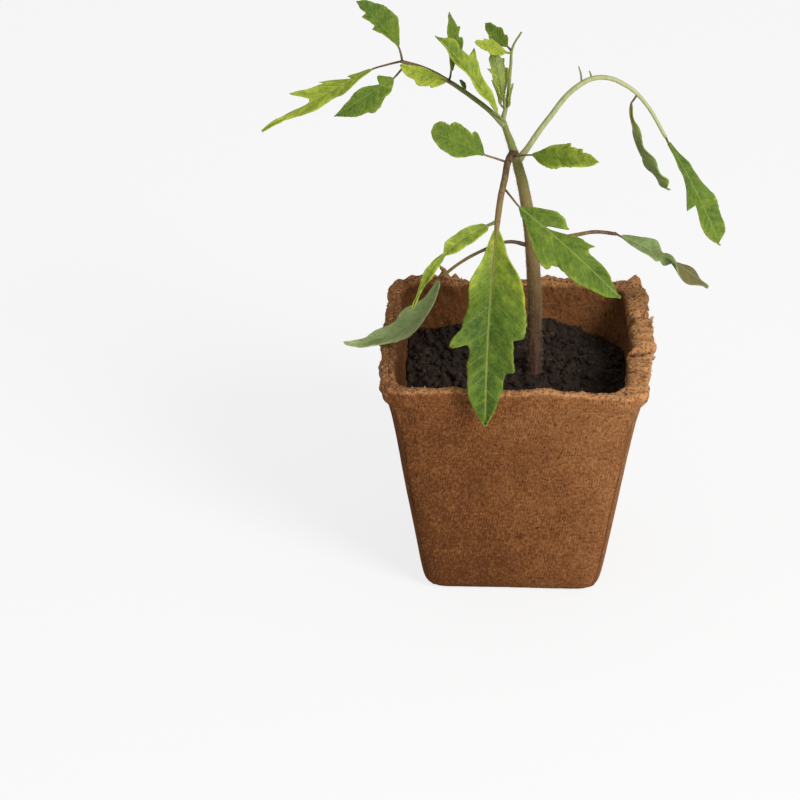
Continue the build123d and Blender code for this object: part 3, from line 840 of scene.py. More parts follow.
def scaled(shares, size, start):
    return [start + Vector(share) * size for share in shares]


def roughen(piece, size, depth, seed):
    """Moves a piece's skin in and out in small lumps."""
    moved = [v.co + v.normal * depth * lumps(v.co, size, seed) for v in piece.data.vertices]
    for vertex, place in zip(piece.data.vertices, moved):
        vertex.co = place


def blushed(piece, start, end, low, high):
    """Stores how purple the skin is, from a share at one end of a run to another at its far end."""
    run = end - start
    shares = [(v.co - start).dot(run) / run.length_squared for v in piece.data.vertices]
    add_values(piece, "blush", [low + (high - low) * min(max(share, 0), 1) for share in shares])


stem_points = scaled(STEM_PATH_SHARES, STEM_HEIGHT, STEM_FOOT)
paths = {"main_stem": points_on(stem_points)}
stem = shoot("stem", [collar, *stem_points], STEM_RADII, 6)
apply_modifier(stem, "SUBSURF", levels=1, render_levels=1)
roughen(stem, STEM_ROUGH_SIZE, STEM_ROUGH, 51)
blushed(stem, STEM_FOOT, stem_points[-1], 1.0, 0.05)

SKIN_PALE = colour(0.46, 0.47, 0.22)
SKIN_GREEN = colour(0.17, 0.205, 0.04)
SKIN_TAN = colour(0.235, 0.15, 0.05)
SKIN_PURPLE = colour(0.062, 0.026, 0.019)


def skin_finish(name):
    """The downy skin of a stem or stalk: pale, green, tan, then purple-brown as its blush grows."""
    finish, sockets, place = new_finish(name, 0.6, 0.35)
    streaks = place.stretched((0, 0, 0), (1, 1, 7)).noise(900, 2, 0.6)
    blush = place.attribute("blush") + (streaks - 0.5) * 0.7
    tone = blush.step(-0.8, 0.0).mix(SKIN_PALE, SKIN_GREEN)
    tone = blush.step(0.05, 0.5).mix(tone, SKIN_TAN)
    tone = blush.step(0.5, 1.0).mix(tone, SKIN_PURPLE)
    tone = (place.noise(1800, 1).step(0.62, 0.74) * 0.3).mix(tone, SKIN_PALE)
    tone.feed(sockets["Base Color"])
    (streaks + place.noise(2200, 2) * 0.5).bump(0.0002).feed(sockets["Normal"])
    return finish


stem.data.materials.append(skin_finish("stem_skin"))
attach(stem, "root")
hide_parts("main_stem")

# Down is short pale hair, thickest low on the stem
STEM_HAIRS = 1500
HAIR_LENGTHS = 0.0004, 0.0011
HAIR_RADIUS = 0.000025
HAIR_TILT = 0.5
HAIR_LOSS_SHARE = 0.7

hair_faces = [face for face in stem.data.polygons if face.center.z > STEM_FOOT.z]
hair_places = []
while len(hair_places) < STEM_HAIRS:
    hair_face = chance.choice(hair_faces)
    share = (hair_face.center.z - STEM_FOOT.z) / STEM_HEIGHT
    if chance.random() > share * HAIR_LOSS_SHARE:
        start, end = [stem.data.vertices[number].co for number in hair_face.vertices[:2]]
        root_place = hair_face.center.lerp(start.lerp(end, chance.random()), chance.random())
        towards = hair_face.normal + HAIR_TILT * Vector([chance.uniform(-1, 1) for _ in range(3)])
        length = chance.uniform(*HAIR_LENGTHS)
        hair_places.append(placing(root_place, towards, (HAIR_RADIUS, HAIR_RADIUS, length)))
bpy.ops.object.select_all(action="DESELECT")
bpy.ops.mesh.primitive_cone_add(vertices=3, radius1=1, radius2=0.2, depth=1, location=(0, 0, 0.45))
bpy.ops.object.transform_apply(location=True)
stem_down = scattered("stem_down", bpy.context.object, hair_places)

DOWN_WHITE = colour(0.58, 0.5, 0.41)
DOWN_WARM = colour(0.34, 0.25, 0.17)
down_finish, down_sockets, down_place = new_finish("stem_down", 0.6, 0.4)
down_place.noise(150, 2).mix(DOWN_WHITE, DOWN_WARM).feed(down_sockets["Base Color"])
stem_down.data.materials.append(down_finish)
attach(stem_down, "root")


# Leaf stalks
# Each grows out of the stem, flares where it leaves it, and thins towards its leaflets.
STALK_FLARE = 1.3
STALK_ROUGH = 0.00006
STALK_ROUGH_SIZE = 0.002
STALKS = {
    "left_cotyledon_stalk": {
        "stem_share": 0.5, "reach": 0.030, "radii": (0.0006, 0.0005), "blush": (0.95, 0.3),
        "path_shares": [
            (-0.26, -0.07, 0.08), (-0.49, -0.13, 0.02), (-0.76, -0.2, -0.11), (-0.96, -0.27, -0.25),
        ],
    },
    "right_cotyledon_stalk": {
        "stem_share": 0.5, "reach": 0.028, "radii": (0.00065, 0.0006), "blush": (0.3, 0.9),
        "path_shares": [(0.31, 0.14, 0.04), (0.53, 0.21, 0.06), (0.74, 0.25, 0.08), (0.98, 0.29, 0.04)],
    },
    "front_leaf_stalk": {
        "stem_share": 0.87, "reach": 0.030, "radii": (0.0012, 0.0010), "blush": (0.95, 0.45),
        "path_shares": [
            (-0.06, -0.2, -0.02), (-0.09, -0.43, -0.11), (-0.13, -0.67, -0.23), (-0.16, -0.9, -0.41),
        ],
    },
    "right_leaf_stalk": {
        "stem_share": 0.83, "reach": 0.050, "radii": (0.00105, 0.0006), "blush": (-0.45, -0.75),
        "path_shares": [
            (0.06, 0.03, 0.08), (0.19, 0.09, 0.26), (0.39, 0.18, 0.47), (0.53, 0.22, 0.51),
            (0.69, 0.24, 0.45), (0.82, 0.26, 0.32), (0.96, 0.26, 0.08),
        ],
    },
    "left_leaf_stalk": {
        "stem_share": 0.98, "reach": 0.038, "radii": (0.0009, 0.0006), "blush": (-0.35, 0.6),
        "path_shares": [
            (-0.12, 0.03, 0.11), (-0.29, 0.05, 0.24), (-0.49, 0.1, 0.36), (-0.68, 0.13, 0.45),
            (-0.88, 0.16, 0.5),
        ],
    },
    "crown_stalk": {
        "stem_share": 1.0, "reach": 0.031, "radii": (0.0007, 0.0003), "blush": (-0.3, -0.15),
        "path_shares": [(0.04, 0.03, 0.17), (0.075, 0.065, 0.58), (0.09, 0.065, 0.78), (0.18, 0.065, 0.96)],
    },
}
STUBS = [
    {"on_share": 0.46, "length": 0.0060, "heading": 170, "pitch": 80},
    {"on_share": 0.51, "length": 0.0028, "heading": 170, "pitch": 75},
]
STUB_RADII = 0.0004, 0.0003, 0.0002
STUB_LEAN_SHARE = 0.05

stalk_skin = skin_finish("stalk_skin")
for name, spec in STALKS.items():
    start = at_share(paths["main_stem"], spec["stem_share"])
    points = [start, *scaled(spec["path_shares"], spec["reach"], start)]
    paths[name] = points_on(points)
    radii = tapered(*spec["radii"], len(points))
    radii[0] *= STALK_FLARE
    stalk = shoot(name, points, radii, 4)
    blushed(stalk, points[0], points[-1], *spec["blush"])
    if name == "right_leaf_stalk":
        stubs = []
        for stub in STUBS:
            stub_start = at_share(paths[name], stub["on_share"])
            run = direction(stub["heading"], stub["pitch"]) * stub["length"]
            lean = Vector((stub["length"] * STUB_LEAN_SHARE, 0, 0))
            stub_points = [stub_start, stub_start + run * 0.5 + lean, stub_start + run]
            stubs.append(shoot("stub", stub_points, STUB_RADII, 2))
        stalk = joined(name, [stalk, *stubs])
    roughen(stalk, STALK_ROUGH_SIZE, STALK_ROUGH, 61)
    stalk.name = name + "_skin"
    stalk.data.materials.append(stalk_skin)
    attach(stalk, "root")
    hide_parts(name)


# Leaves
# Thin blades with a raised midrib below and side veins that run out to the lobes of the margin.
# Each stands on a neck, droops or lifts along its midrib, folds a little and ripples at the edge.
BLADE_THICKNESS = 0.0004
VEIN_ANGLE = 50
FORKED_VEIN_ANGLE = 28
HOOKED_VEIN_ANGLE = 40
MARGIN_STEPS = 5
BLADE_ROWS = 9
NECK_RADIUS = 0.0004
RIB_END_RADIUS = 0.00015
RIB_SHARES = 0.02, 0.25, 0.55, 0.88
VEIN_GAP = 0.115
VEIN_STAGGER = 0.4
QUILT = 0.078
RIPPLE = 0.02
RIPPLE_ONSET = 6
MARGIN_WOBBLE = 0.05
WOBBLE_COUNTS = 17, 41
TOOTH_TURN = 1.6
PALE_EDGE = 0.3

# Leaf margins from neck to tip: where a side vein leaves the midrib, and that vein's length, or the two
# shares of the place where it ends, as shares of the blade's length. Peaks are lobes and dips are notches.
SMOOTH_SHARES = [(0.01, 0.03), (0.14, 0.08), (0.36, 0.13), (0.6, 0.12), (0.85, 0.06)]
LOBED_SHARES = [
    (0.01, 0.03), (0.13, 0.07), (0.25, 0.12), (0.35, 0.15), (0.43, 0.18), (0.47, 0.24),
    (0.52, 0.14), (0.6, 0.145), (0.73, 0.13), (0.89, 0.06),
]
TOOTHED_SHARES = [
    (0.01, 0.03), (0.1, 0.09), (0.2, 0.19), (0.29, 0.23), (0.4, 0.25), (0.45, 0.19),
    (0.56, 0.18), (0.62, 0.19), (0.67, 0.13), (0.75, 0.11), (0.89, 0.06),
]
BROAD_SHARES = [
    (0.01, 0.04), (0.05, 0.17), (0.13, 0.27), (0.28, 0.27), (0.33, 0.23), (0.52, 0.21),
    (0.73, 0.15), (0.9, 0.08),
]
ROUND_SHARES = [
    (0.01, 0.05), (0.04, 0.21), (0.11, 0.29), (0.17, 0.24), (0.28, 0.33), (0.4, 0.31),
    (0.46, 0.26), (0.68, 0.2), (0.87, 0.11),
]
PADDLE_SHARES = [(0.01, 0.02), (0.17, 0.06), (0.34, 0.12), (0.52, 0.16), (0.7, 0.16), (0.86, 0.1)]
NICKED_SHARES = [
    (0.01, 0.02), (0.2, 0.05), (0.34, 0.08), (0.42, 0.24), (0.51, 0.1), (0.65, 0.13), (0.84, 0.1),
]
FORKED_SHARES = [
    (0.01, 0.02), (0.08, 0.06), (0.13, 0.09), (0.16, 0.03), (0.18, 0.14), (0.21, 0.24),
    (0.24, 0.18), (0.33, 0.22), (0.41, 0.29), (0.5, 0.06), (0.7, 0.05), (0.88, 0.025),
]
NARROW_SHARES = [
    (0.01, 0.02), (0.1, 0.06), (0.15, 0.13), (0.28, 0.13), (0.38, 0.17), (0.48, 0.14), (0.76, 0.04),
]
TAILED_SHARES = [
    (0.0, 0.05), (0.08, 0.08), (0.2, 0.09), (0.31, 0.08), (0.39, 0.04), (0.44, 0.02), (0.52, 0.045),
    (0.64, 0.045), (0.88, 0.015),
]
SHOULDERED_SHARES = [
    (0.0, 0.02), (0.04, 0.07), (0.075, 0.1), (0.1, 0.16), (0.13, 0.205), (0.22, 0.235), (0.34, 0.25),
    (0.38, 0.24), (0.44, 0.175), (0.53, 0.18), (0.59, 0.19), (0.635, 0.135), (0.74, 0.105), (0.86, 0.07),
]
FINGERED_SHARES = [
    (0.0, 0.02), (0.06, 0.05), (0.11, 0.07), (0.16, 0.11), (0.2, 0.135), (0.28, 0.14), (0.36, 0.165),
    (0.4, 0.175), (0.42, 0.215), (0.44, 0.23), (0.465, 0.222), (0.482, 0.19), (0.5, 0.14), (0.61, 0.13),
    (0.72, 0.115), (0.81, 0.1), (0.91, 0.06),
]
HOOKED_SHARES = [
    (0.0, 0.085, 0.053), (0.01, 0.16, 0.1), (0.03, 0.22, 0.135), (0.08, 0.29, 0.14), (0.14, 0.345, 0.127),
    (0.18, 0.37, 0.11), (0.2, 0.375, 0.095), (0.205, 0.325, 0.065), (0.21, 0.27, 0.034),
    (0.217, 0.25, 0.014), (0.235, 0.285, 0.018), (0.26, 0.355, 0.045), (0.29, 0.425, 0.078),
    (0.32, 0.49, 0.105), (0.38, 0.555, 0.11), (0.4, 0.61, 0.132), (0.446, 0.59, 0.09), (0.58, 0.71, 0.08),
    (0.7, 0.8, 0.06), (0.84, 0.905, 0.035),
]
BELLIED_SHARES = [
    (0.03, 0.08), (0.05, 0.25), (0.065, 0.35), (0.1, 0.38), (0.19, 0.355), (0.25, 0.28), (0.37, 0.265),
    (0.45, 0.26), (0.58, 0.215), (0.72, 0.165), (0.87, 0.09),
]
SCALLOPED_SHARES = [
    (0.01, 0.12), (0.05, 0.3), (0.09, 0.335), (0.13, 0.32), (0.2, 0.255), (0.29, 0.325), (0.4, 0.345),
    (0.52, 0.32), (0.6, 0.25), (0.7, 0.265), (0.8, 0.23), (0.91, 0.14),
]
FULL_SHARES = [(0.02, 0.04), (0.1, 0.09), (0.2, 0.2), (0.32, 0.3), (0.48, 0.3), (0.66, 0.24), (0.87, 0.13)]
SAWN_SHARES = [
    (0.01, 0.02), (0.15, 0.06), (0.3, 0.12), (0.42, 0.22), (0.48, 0.11), (0.58, 0.14), (0.68, 0.2),
    (0.73, 0.08), (0.86, 0.06),
]
SHIELD_SHARES = [
    (0.01, 0.06), (0.05, 0.2), (0.1, 0.31), (0.2, 0.35), (0.36, 0.33), (0.52, 0.27), (0.7, 0.2), (0.87, 0.1),
]
NOTCHED_SHARES = [
    (0.0, 0.06), (0.04, 0.16), (0.07, 0.185), (0.11, 0.16), (0.2, 0.05), (0.26, 0.1), (0.34, 0.15),
    (0.48, 0.155), (0.74, 0.07),
]
WAVY_SHARES = [
    (0.0, 0.06), (0.04, 0.17), (0.14, 0.2), (0.2, 0.3), (0.29, 0.335), (0.45, 0.245), (0.57, 0.235),
    (0.77, 0.13),
]
SLIVER_SHARES = [(0.02, 0.03), (0.3, 0.07), (0.6, 0.06), (0.85, 0.03)]
TWISTED_SHARES = [
    (0.01, 0.03), (0.08, 0.1), (0.2, 0.165), (0.33, 0.12), (0.42, 0.05), (0.5, 0.11), (0.64, 0.165),
    (0.8, 0.13), (0.92, 0.06),
]
RIBBON_SHARES = [(0.01, 0.03), (0.12, 0.08), (0.3, 0.145), (0.5, 0.12), (0.7, 0.085), (0.88, 0.05)]

# Each blade: the shoot it stands on and where, its neck (length, heading, pitch), its length, the heading
# and pitch of its chord, its roll, bend and fold, its two margins, and its tone from base to tip.
# Some have a thicker rib, a blush on it, a vein angle, a twist, a sweep aside, or a tone that fades early.
LEAVES = {
    "left_cotyledon_blade": {
        "on": "left_cotyledon_stalk", "on_share": 1.0, "neck": (0.0015, -168, -48),
        "length": 0.041, "chord": (-171, -35), "roll": -30, "bend": -80, "fold": 18, "sweep": 0.08,
        "margins": (RIBBON_SHARES, RIBBON_SHARES), "tone": (0.5, 0.6), "slot": "cotyledon",
    },
    "right_cotyledon_blade": {
        "on": "right_cotyledon_stalk", "on_share": 1.0, "neck": (0.0015, 8, -20),
        "length": 0.036, "chord": (8, -34), "roll": 20, "bend": 14, "fold": 10,
        "twist": 170, "twist_run": (0.36, 0.56),
        "margins": (TWISTED_SHARES, TWISTED_SHARES), "tone": (0.25, 0.0), "slot": "cotyledon",
    },
    "front_leaf_tip": {
        "on": "front_leaf_stalk", "on_share": 1.0, "neck": (0.002, -97, -48),
        "length": 0.064, "chord": (-96, -68), "roll": 4, "bend": 30, "fold": 14,
        "margins": (SHOULDERED_SHARES, FINGERED_SHARES), "tone": (0.85, 0.2), "fade": 0.4, "slot": "leaf",
        "rib": 0.00095, "blush": 0.45,
    },
    "front_leaf_lower_left": {
        "on": "front_leaf_stalk", "on_share": 0.99, "neck": (0.003, -165, -20),
        "length": 0.039, "chord": (-152, -42), "roll": -50, "bend": 76, "fold": 16, "sweep": -0.1,
        "margins": (TAILED_SHARES, TAILED_SHARES), "tone": (0.6, 0.65), "slot": "leaf",
        "rib": 0.0007, "blush": 0.2,
    },
    "front_leaf_lower_right": {
        "on": "front_leaf_stalk", "on_share": 0.57, "neck": (0.0085, -46, -30),
        "length": 0.044, "chord": (-17, -38), "roll": 44, "bend": 24, "fold": 14,
        "margins": (HOOKED_SHARES, BELLIED_SHARES), "tone": (0.35, 0.3), "slot": "leaf",
        "vein_angle": HOOKED_VEIN_ANGLE,
    },
    "front_leaf_upper_left": {
        "on": "front_leaf_stalk", "on_share": 0.22, "neck": (0.0095, -150, 28),
        "length": 0.021, "chord": (-160, 30), "roll": -62, "bend": 22, "fold": 10,
        "margins": (FULL_SHARES, SCALLOPED_SHARES), "tone": (0.4, 0.35), "slot": "leaf",
    },
    "front_leaf_upper_right": {
        "on": "front_leaf_stalk", "on_share": 0.1, "neck": (0.0095, -43, 22),
        "length": 0.023, "chord": (-19, 3), "roll": 40, "bend": 18, "fold": 14,
        "margins": (TOOTHED_SHARES, BROAD_SHARES), "tone": (0.5, 0.7), "slot": "leaf",
    },
    "right_leaf_tip": {
        "on": "right_leaf_stalk", "on_share": 1.0, "neck": (0.0015, -10, -58),
        "length": 0.039, "chord": (-19, -61), "roll": 30, "bend": 18, "fold": 10,
        "margins": (PADDLE_SHARES, NICKED_SHARES), "tone": (0.2, 0.45), "slot": "leaf",
    },
    "right_leaf_side": {
        "on": "right_leaf_stalk", "on_share": 0.75, "neck": (0.0035, -130, -35),
        "length": 0.032, "chord": (-32, -61), "roll": -60, "bend": -52, "fold": 12,
        "margins": (NICKED_SHARES, PADDLE_SHARES), "tone": (0.3, 0.3), "slot": "leaf",
    },
    "left_leaf_tip": {
        "on": "left_leaf_stalk", "on_share": 1.0, "neck": (0.0095, 174, -18),
        "length": 0.0415, "chord": (-170, -29), "roll": -50, "bend": 10, "fold": 10,
        "margins": (NARROW_SHARES, FORKED_SHARES), "tone": (0.65, 0.95), "slot": "leaf",
        "vein_angle": FORKED_VEIN_ANGLE,
    },
    "left_leaf_top": {
        "on": "left_leaf_stalk", "on_share": 0.99, "neck": (0.005, 150, 78),
        "length": 0.0215, "chord": (-171, 50), "roll": -50, "bend": 20, "fold": 12,
        "margins": (SAWN_SHARES, SHIELD_SHARES), "tone": (0.45, 0.15), "slot": "leaf",
    },
    "left_leaf_lower": {
        "on": "left_leaf_stalk", "on_share": 0.95, "neck": (0.0065, -142, -38),
        "length": 0.0235, "chord": (-151, -23), "roll": -58, "bend": 24, "fold": 12,
        "margins": (WAVY_SHARES, NOTCHED_SHARES), "tone": (0.45, 0.15), "slot": "leaf",
    },
    "left_leaf_inner_upper": {
        "on": "left_leaf_stalk", "on_share": 0.58, "neck": (0.004, -50, 66),
        "length": 0.0195, "chord": (105, 78), "roll": 35, "bend": 16, "fold": 20,
        "margins": (LOBED_SHARES, TOOTHED_SHARES), "tone": (0.5, 0.25), "slot": "leaf",
    },
    "left_leaf_inner_lower": {
        "on": "left_leaf_stalk", "on_share": 0.56, "neck": (0.0024, -112, 30),
        "length": 0.0165, "chord": (-172, 22), "roll": -62, "bend": -16, "fold": 10,
        "margins": (ROUND_SHARES, SMOOTH_SHARES), "tone": (0.85, 0.8), "slot": "young_leaf",
    },
    "crown_left": {
        "on": "main_stem", "on_share": 0.99, "neck": (0.0045, -140, 60),
        "length": 0.035, "chord": (-168, 54), "roll": -30, "bend": 14, "fold": 22,
        "margins": (SMOOTH_SHARES, LOBED_SHARES), "tone": (0.85, 0.4), "slot": "young_leaf", "blush": -0.4,
    },
    "crown_middle": {
        "on": "crown_stalk", "on_share": 0.14, "neck": (0.0025, 150, 60),
        "length": 0.018, "chord": (135, 75), "roll": 150, "bend": -14, "fold": 16,
        "margins": (TOOTHED_SHARES, LOBED_SHARES), "tone": (0.8, 0.55), "slot": "leaf", "blush": -0.4,
    },
    "crown_light": {
        "on": "crown_stalk", "on_share": 0.74, "neck": (0.0018, -150, 20),
        "length": 0.0125, "chord": (-155, 26), "roll": -45, "bend": 20, "fold": 12,
        "margins": (ROUND_SHARES, TOOTHED_SHARES), "tone": (0.95, 1.0), "slot": "young_leaf", "blush": 0.2,
    },
    "crown_dark": {
        "on": "crown_stalk", "on_share": 0.76, "neck": (0.0018, 150, 40),
        "length": 0.0105, "chord": (155, 40), "roll": -60, "bend": 20, "fold": 12,
        "margins": (ROUND_SHARES, ROUND_SHARES), "tone": (0.5, 0.25), "slot": "leaf",
    },
    "left_leaf_bud": {
        "on": "left_leaf_stalk", "on_share": 0.42, "neck": (0.0016, -70, 50),
        "length": 0.004, "chord": (-175, 62), "roll": -30, "bend": 16, "fold": 12,
        "margins": (ROUND_SHARES, ROUND_SHARES), "tone": (0.4, 0.3), "slot": "leaf",
    },
}
# The tuft's leaflets: heading, pitch and length of each
BUD_LEAFLETS = [
    (-150, 72, 0.0095), (-40, 78, 0.0080), (175, 70, 0.0085), (-95, 66, 0.0055), (110, 80, 0.0070),
]
BUD_NECK_LENGTH = 0.003
BUD_NECK_PITCH = 62
BUD_LEAFLET = {
    "on": "crown_stalk", "on_share": 0.1, "roll": 0, "bend": 20, "fold": 30, "blush": -0.4,
    "margins": (SLIVER_SHARES, SLIVER_SHARES), "tone": (0.9, 0.8),
}


def margin_curve(shares):
    """A function through values along the midrib: smooth, with corners at notches and sharp teeth."""
    knots = [*shares, (1.0, 0.0)]
    slopes = [(b[1] - a[1]) / (b[0] - a[0]) for a, b in zip(knots, knots[1:])]
    arriving, leaving = [slopes[0]], [slopes[0]]
    for before, after in zip(slopes, slopes[1:]):
        is_notch = before < 0 < after
        is_tooth = before > 0 > after and before - after > TOOTH_TURN
        smooth = (before + after) / 2
        arriving.append(before if is_notch or is_tooth else smooth)
        leaving.append(after if is_notch or is_tooth else smooth)
    arriving.append(slopes[-1])

    def reach(along):
        along = max(along, knots[0][0])
        number = max(n for n in range(len(knots) - 1) if knots[n][0] <= along + 1e-9)
        (start, low), (end, high) = knots[number], knots[number + 1]
        gap = end - start
        t = (along - start) / gap
        bow = leaving[number] * gap * t * (1 - t) ** 2 - arriving[number + 1] * gap * t * t * (1 - t)
        return max(low + (high - low) * t * t * (3 - 2 * t) + bow, 0)

    return reach


def grow_leaf(name, spec, finishes):
    """A blade and its neck and rib as one piece, standing on its shoot."""
    seat = at_share(paths[spec["on"]], spec["on_share"])
    neck_length, neck_heading, neck_pitch = spec["neck"]
    base = seat + direction(neck_heading, neck_pitch) * neck_length
    length, half_turn = spec["length"], radians(spec["bend"]) / 2
    radius = length / (2 * half_turn)
    chord = 2 * radius * sin(half_turn)
    crown = radius - radius * cos(half_turn)
    heading, pitch = spec["chord"]
    turn = Matrix.Rotation(radians(heading), 4, "Z") @ Matrix.Rotation(radians(-pitch), 4, "Y")
    turn = Matrix.Translation(base) @ turn @ Matrix.Rotation(radians(spec["roll"]), 4, "X")
    vein = radians(spec.get("vein_angle", VEIN_ANGLE))
    sides = []
    for shares in spec["margins"]:
        forward, outward = [], []
        for foot, *end in shares:
            x, y = end if len(end) == 2 else (foot + end[0] * cos(vein), end[0] * sin(vein))
            forward.append((foot, x - foot))
            outward.append((foot, y))
        sides.append((margin_curve(forward), margin_curve(outward)))
    lift = tan(radians(spec["fold"]))
    twist = radians(spec.get("twist", 0))
    sweep = spec.get("sweep", 0) * length
    ripple = RIPPLE * length
    waves = [(chance.uniform(2, 3.5), chance.uniform(0, 2 * pi)) for _ in range(2)]
    seed = chance.uniform(0, 50)

    def settled(along, x, y, height):
        """A point of the flat blade, raised, twisted, swept aside, bent and put in its place."""
        tilt = twist * rise(along, *spec.get("twist_run", (0.3, 0.7)))
        y, height = y * cos(tilt) - height * sin(tilt), y * sin(tilt) + height * cos(tilt)
        share = min(x / chord, 1)
        reach = radius + height
        swing = asin(min(max((x - chord / 2) / reach, -1), 1))
        return turn @ Vector((x, y + 4 * sweep * share * (1 - share), crown - radius + reach * cos(swing)))

    knots = sorted({share[0] for shares in spec["margins"] for share in shares} | {1.0})
    stations = [knots[0]]
    for start, end in zip(knots, knots[1:]):
        stations += [start + (end - start) * (step + 1) / MARGIN_STEPS for step in range(MARGIN_STEPS)]
    columns, rows = len(stations) - 1, 2 * BLADE_ROWS

    bpy.ops.object.select_all(action="DESELECT")
    bpy.ops.mesh.primitive_grid_add(x_subdivisions=columns, y_subdivisions=rows, size=1)
    blade = bpy.context.object
    flat, tones, vein_lines = [], [], []
    for vertex in blade.data.vertices:
        along = stations[round((vertex.co.x + 0.5) * columns)]
        across = 2 * vertex.co.y
        is_left = across > 0
        forward, out = [curve(along) * length * abs(across) for curve in sides[not is_left]]
        wobble = sum(noise.noise(Vector((along * count, 4 * is_left, seed))) for count in WOBBLE_COUNTS)
        out *= 1 + MARGIN_WOBBLE * wobble * across * across
        x = chord * along + forward
        y = out if is_left else -out
        vein_line = chord * along / length / VEIN_GAP + VEIN_STAGGER * is_left
        count, phase = waves[is_left]
        wave = sin(2 * pi * count * along + phase) * min(1, RIPPLE_ONSET * along)
        height = abs(y) * lift + ripple * across**2 * wave
        height -= QUILT * out * (1 - abs(across)) * cos(2 * pi * vein_line + pi)
        vertex.co = settled(along, x, y, height)
        flat.append((x / length, y / length))
        low, high = spec["tone"]
        tones.append(low + (high - low) * min(along / spec.get("fade", 1), 1) + PALE_EDGE * across**6)
        vein_lines.append(vein_line)
    layout = blade.data.uv_layers[0].data
    for loop in blade.data.loops:
        layout[loop.index].uv = flat[loop.vertex_index]
    add_values(blade, "tone", tones)
    add_values(blade, "vein_line", vein_lines)
    for finish in finishes:
        blade.data.materials.append(finish)
    edit(blade)
    bpy.ops.mesh.select_all(action="SELECT")
    bpy.ops.mesh.remove_doubles(threshold=0.000005)
    finish_edit()
    apply_modifier(blade, "SOLIDIFY", thickness=BLADE_THICKNESS, offset=-1, material_offset=1)
    shade_smooth(blade)

    rib_radius = spec.get("rib", NECK_RADIUS)
    rib_points = [seat, seat.lerp(base, 0.5)] if neck_length > NECK_RADIUS * 6 else [seat]
    rib_points += [settled(along, chord * along, 0, -BLADE_THICKNESS) for along in RIB_SHARES]
    rib = shoot("rib", rib_points, tapered(rib_radius, RIB_END_RADIUS, len(rib_points)), 2)
    blushed(rib, seat, rib_points[-1], spec.get("blush", 0.85), -0.2)
    rib.data.materials.append(finishes[1])
    rib.data.materials[0] = stalk_skin
    return joined(name + "_leaf", [blade, rib])


LEAF_DARK = colour(0.047, 0.1, 0.009)
LEAF_MID = colour(0.125, 0.195, 0.016)
LEAF_YOUNG = colour(0.4, 0.465, 0.045)
VEIN_AND_HIGHLIGHT_PALE = colour(0.36, 0.43, 0.085)
UNDER_PALE = colour(0.22, 0.3, 0.085)
UNDER_VEIN_AND_HIGHLIGHT = colour(0.42, 0.47, 0.2)
COTYLEDON_GREY = colour(0.24, 0.33, 0.115)
COTYLEDON_DARK = colour(0.13, 0.18, 0.05)
COTYLEDON_PALE = colour(0.46, 0.5, 0.23)
COTYLEDON_UNDER = colour(0.17, 0.14, 0.05)
VEIN_WIDTH = 0.006
MIDRIB_WIDTH = 0.008


def leaf_finish(name, dark, mid, young, vein_and_highlight, relief, gloss):
    """A leaf face: green that varies with the blade's tone, with a pale vein pattern from its own layout and
    pale specks of painted highlight.
    """
    finish, sockets, place = new_finish(name, 0.5, gloss)
    layout = place.node("UVMap")
    off = abs(layout.part("Y"))
    vein_off = abs((place.attribute("vein_line") + place.noise(280, 2) * 0.25).fraction() - 0.5) * VEIN_GAP
    side_veins = 1 - vein_off.step(VEIN_WIDTH * 0.2, VEIN_WIDTH)
    midrib = 1 - off.step(MIDRIB_WIDTH * 0.3, MIDRIB_WIDTH)
    net_place = {"Vector": layout, "Scale": 34.0}
    net = place.node("TexVoronoi", {"feature": "DISTANCE_TO_EDGE"}, net_place, "Distance")
    net = 1 - net.step(0.0, 0.12)
    patches = place.noise(150, 3, 0.6)
    blotches = place.noise(480, 2, 0.6)
    along_veins = {"X": place.attribute("vein_line") * 3.2, "Y": off * 14.0, "Z": layout.part("Y") * 6.0}
    streaks = place.node("CombineXYZ", (), along_veins).noise(1.0, 3, 0.6)
    tone = place.attribute("tone") + (patches - 0.5) * 0.6 + (blotches - 0.5) * 0.6 + (streaks - 0.5) * 0.8
    green = tone.step(0.0, 0.55).mix(dark, mid)
    green = tone.step(0.4, 1.1).mix(green, young)
    green = (net * 0.12).mix(green, vein_and_highlight)
    green = (side_veins * 0.2).mix(green, vein_and_highlight)
    green = (midrib * 0.45).mix(green, vein_and_highlight)
    # Painted highlight: small pale specks in the vein colour.
    green = (place.noise(1500, 2).step(0.64, 0.75) * 0.2).mix(green, vein_and_highlight)
    green.feed(sockets["Base Color"])
    (patches * 0.12 + 0.5).feed(sockets["Roughness"])
    height = (side_veins * 0.5 + midrib * 0.8 + net * 0.3) * relief + streaks * 0.9
    height += place.noise(1300, 2) * 0.25
    height.bump(0.0004).feed(sockets["Normal"])
    return finish


leaf_upper = leaf_finish("leaf_upper", LEAF_DARK, LEAF_MID, LEAF_YOUNG, VEIN_AND_HIGHLIGHT_PALE, -0.35, 0.2)
leaf_under = leaf_finish("leaf_under", UNDER_PALE, UNDER_PALE, LEAF_YOUNG, UNDER_VEIN_AND_HIGHLIGHT, 0.6, 0.15)
cotyledon_upper = leaf_finish(
    "cotyledon_upper", COTYLEDON_DARK, COTYLEDON_GREY, COTYLEDON_PALE, UNDER_VEIN_AND_HIGHLIGHT, -0.3, 0.2
)
cotyledon_under = leaf_finish(
    "cotyledon_under", COTYLEDON_UNDER, COTYLEDON_UNDER, COTYLEDON_GREY, UNDER_VEIN_AND_HIGHLIGHT, 0.4, 0.15
)
for name, spec in LEAVES.items():
    is_seed_leaf = spec["slot"] == "cotyledon"
    finishes = (cotyledon_upper, cotyledon_under) if is_seed_leaf else (leaf_upper, leaf_under)
    leaf = grow_leaf(name, spec, finishes)
    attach(leaf, "root")
    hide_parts(name)

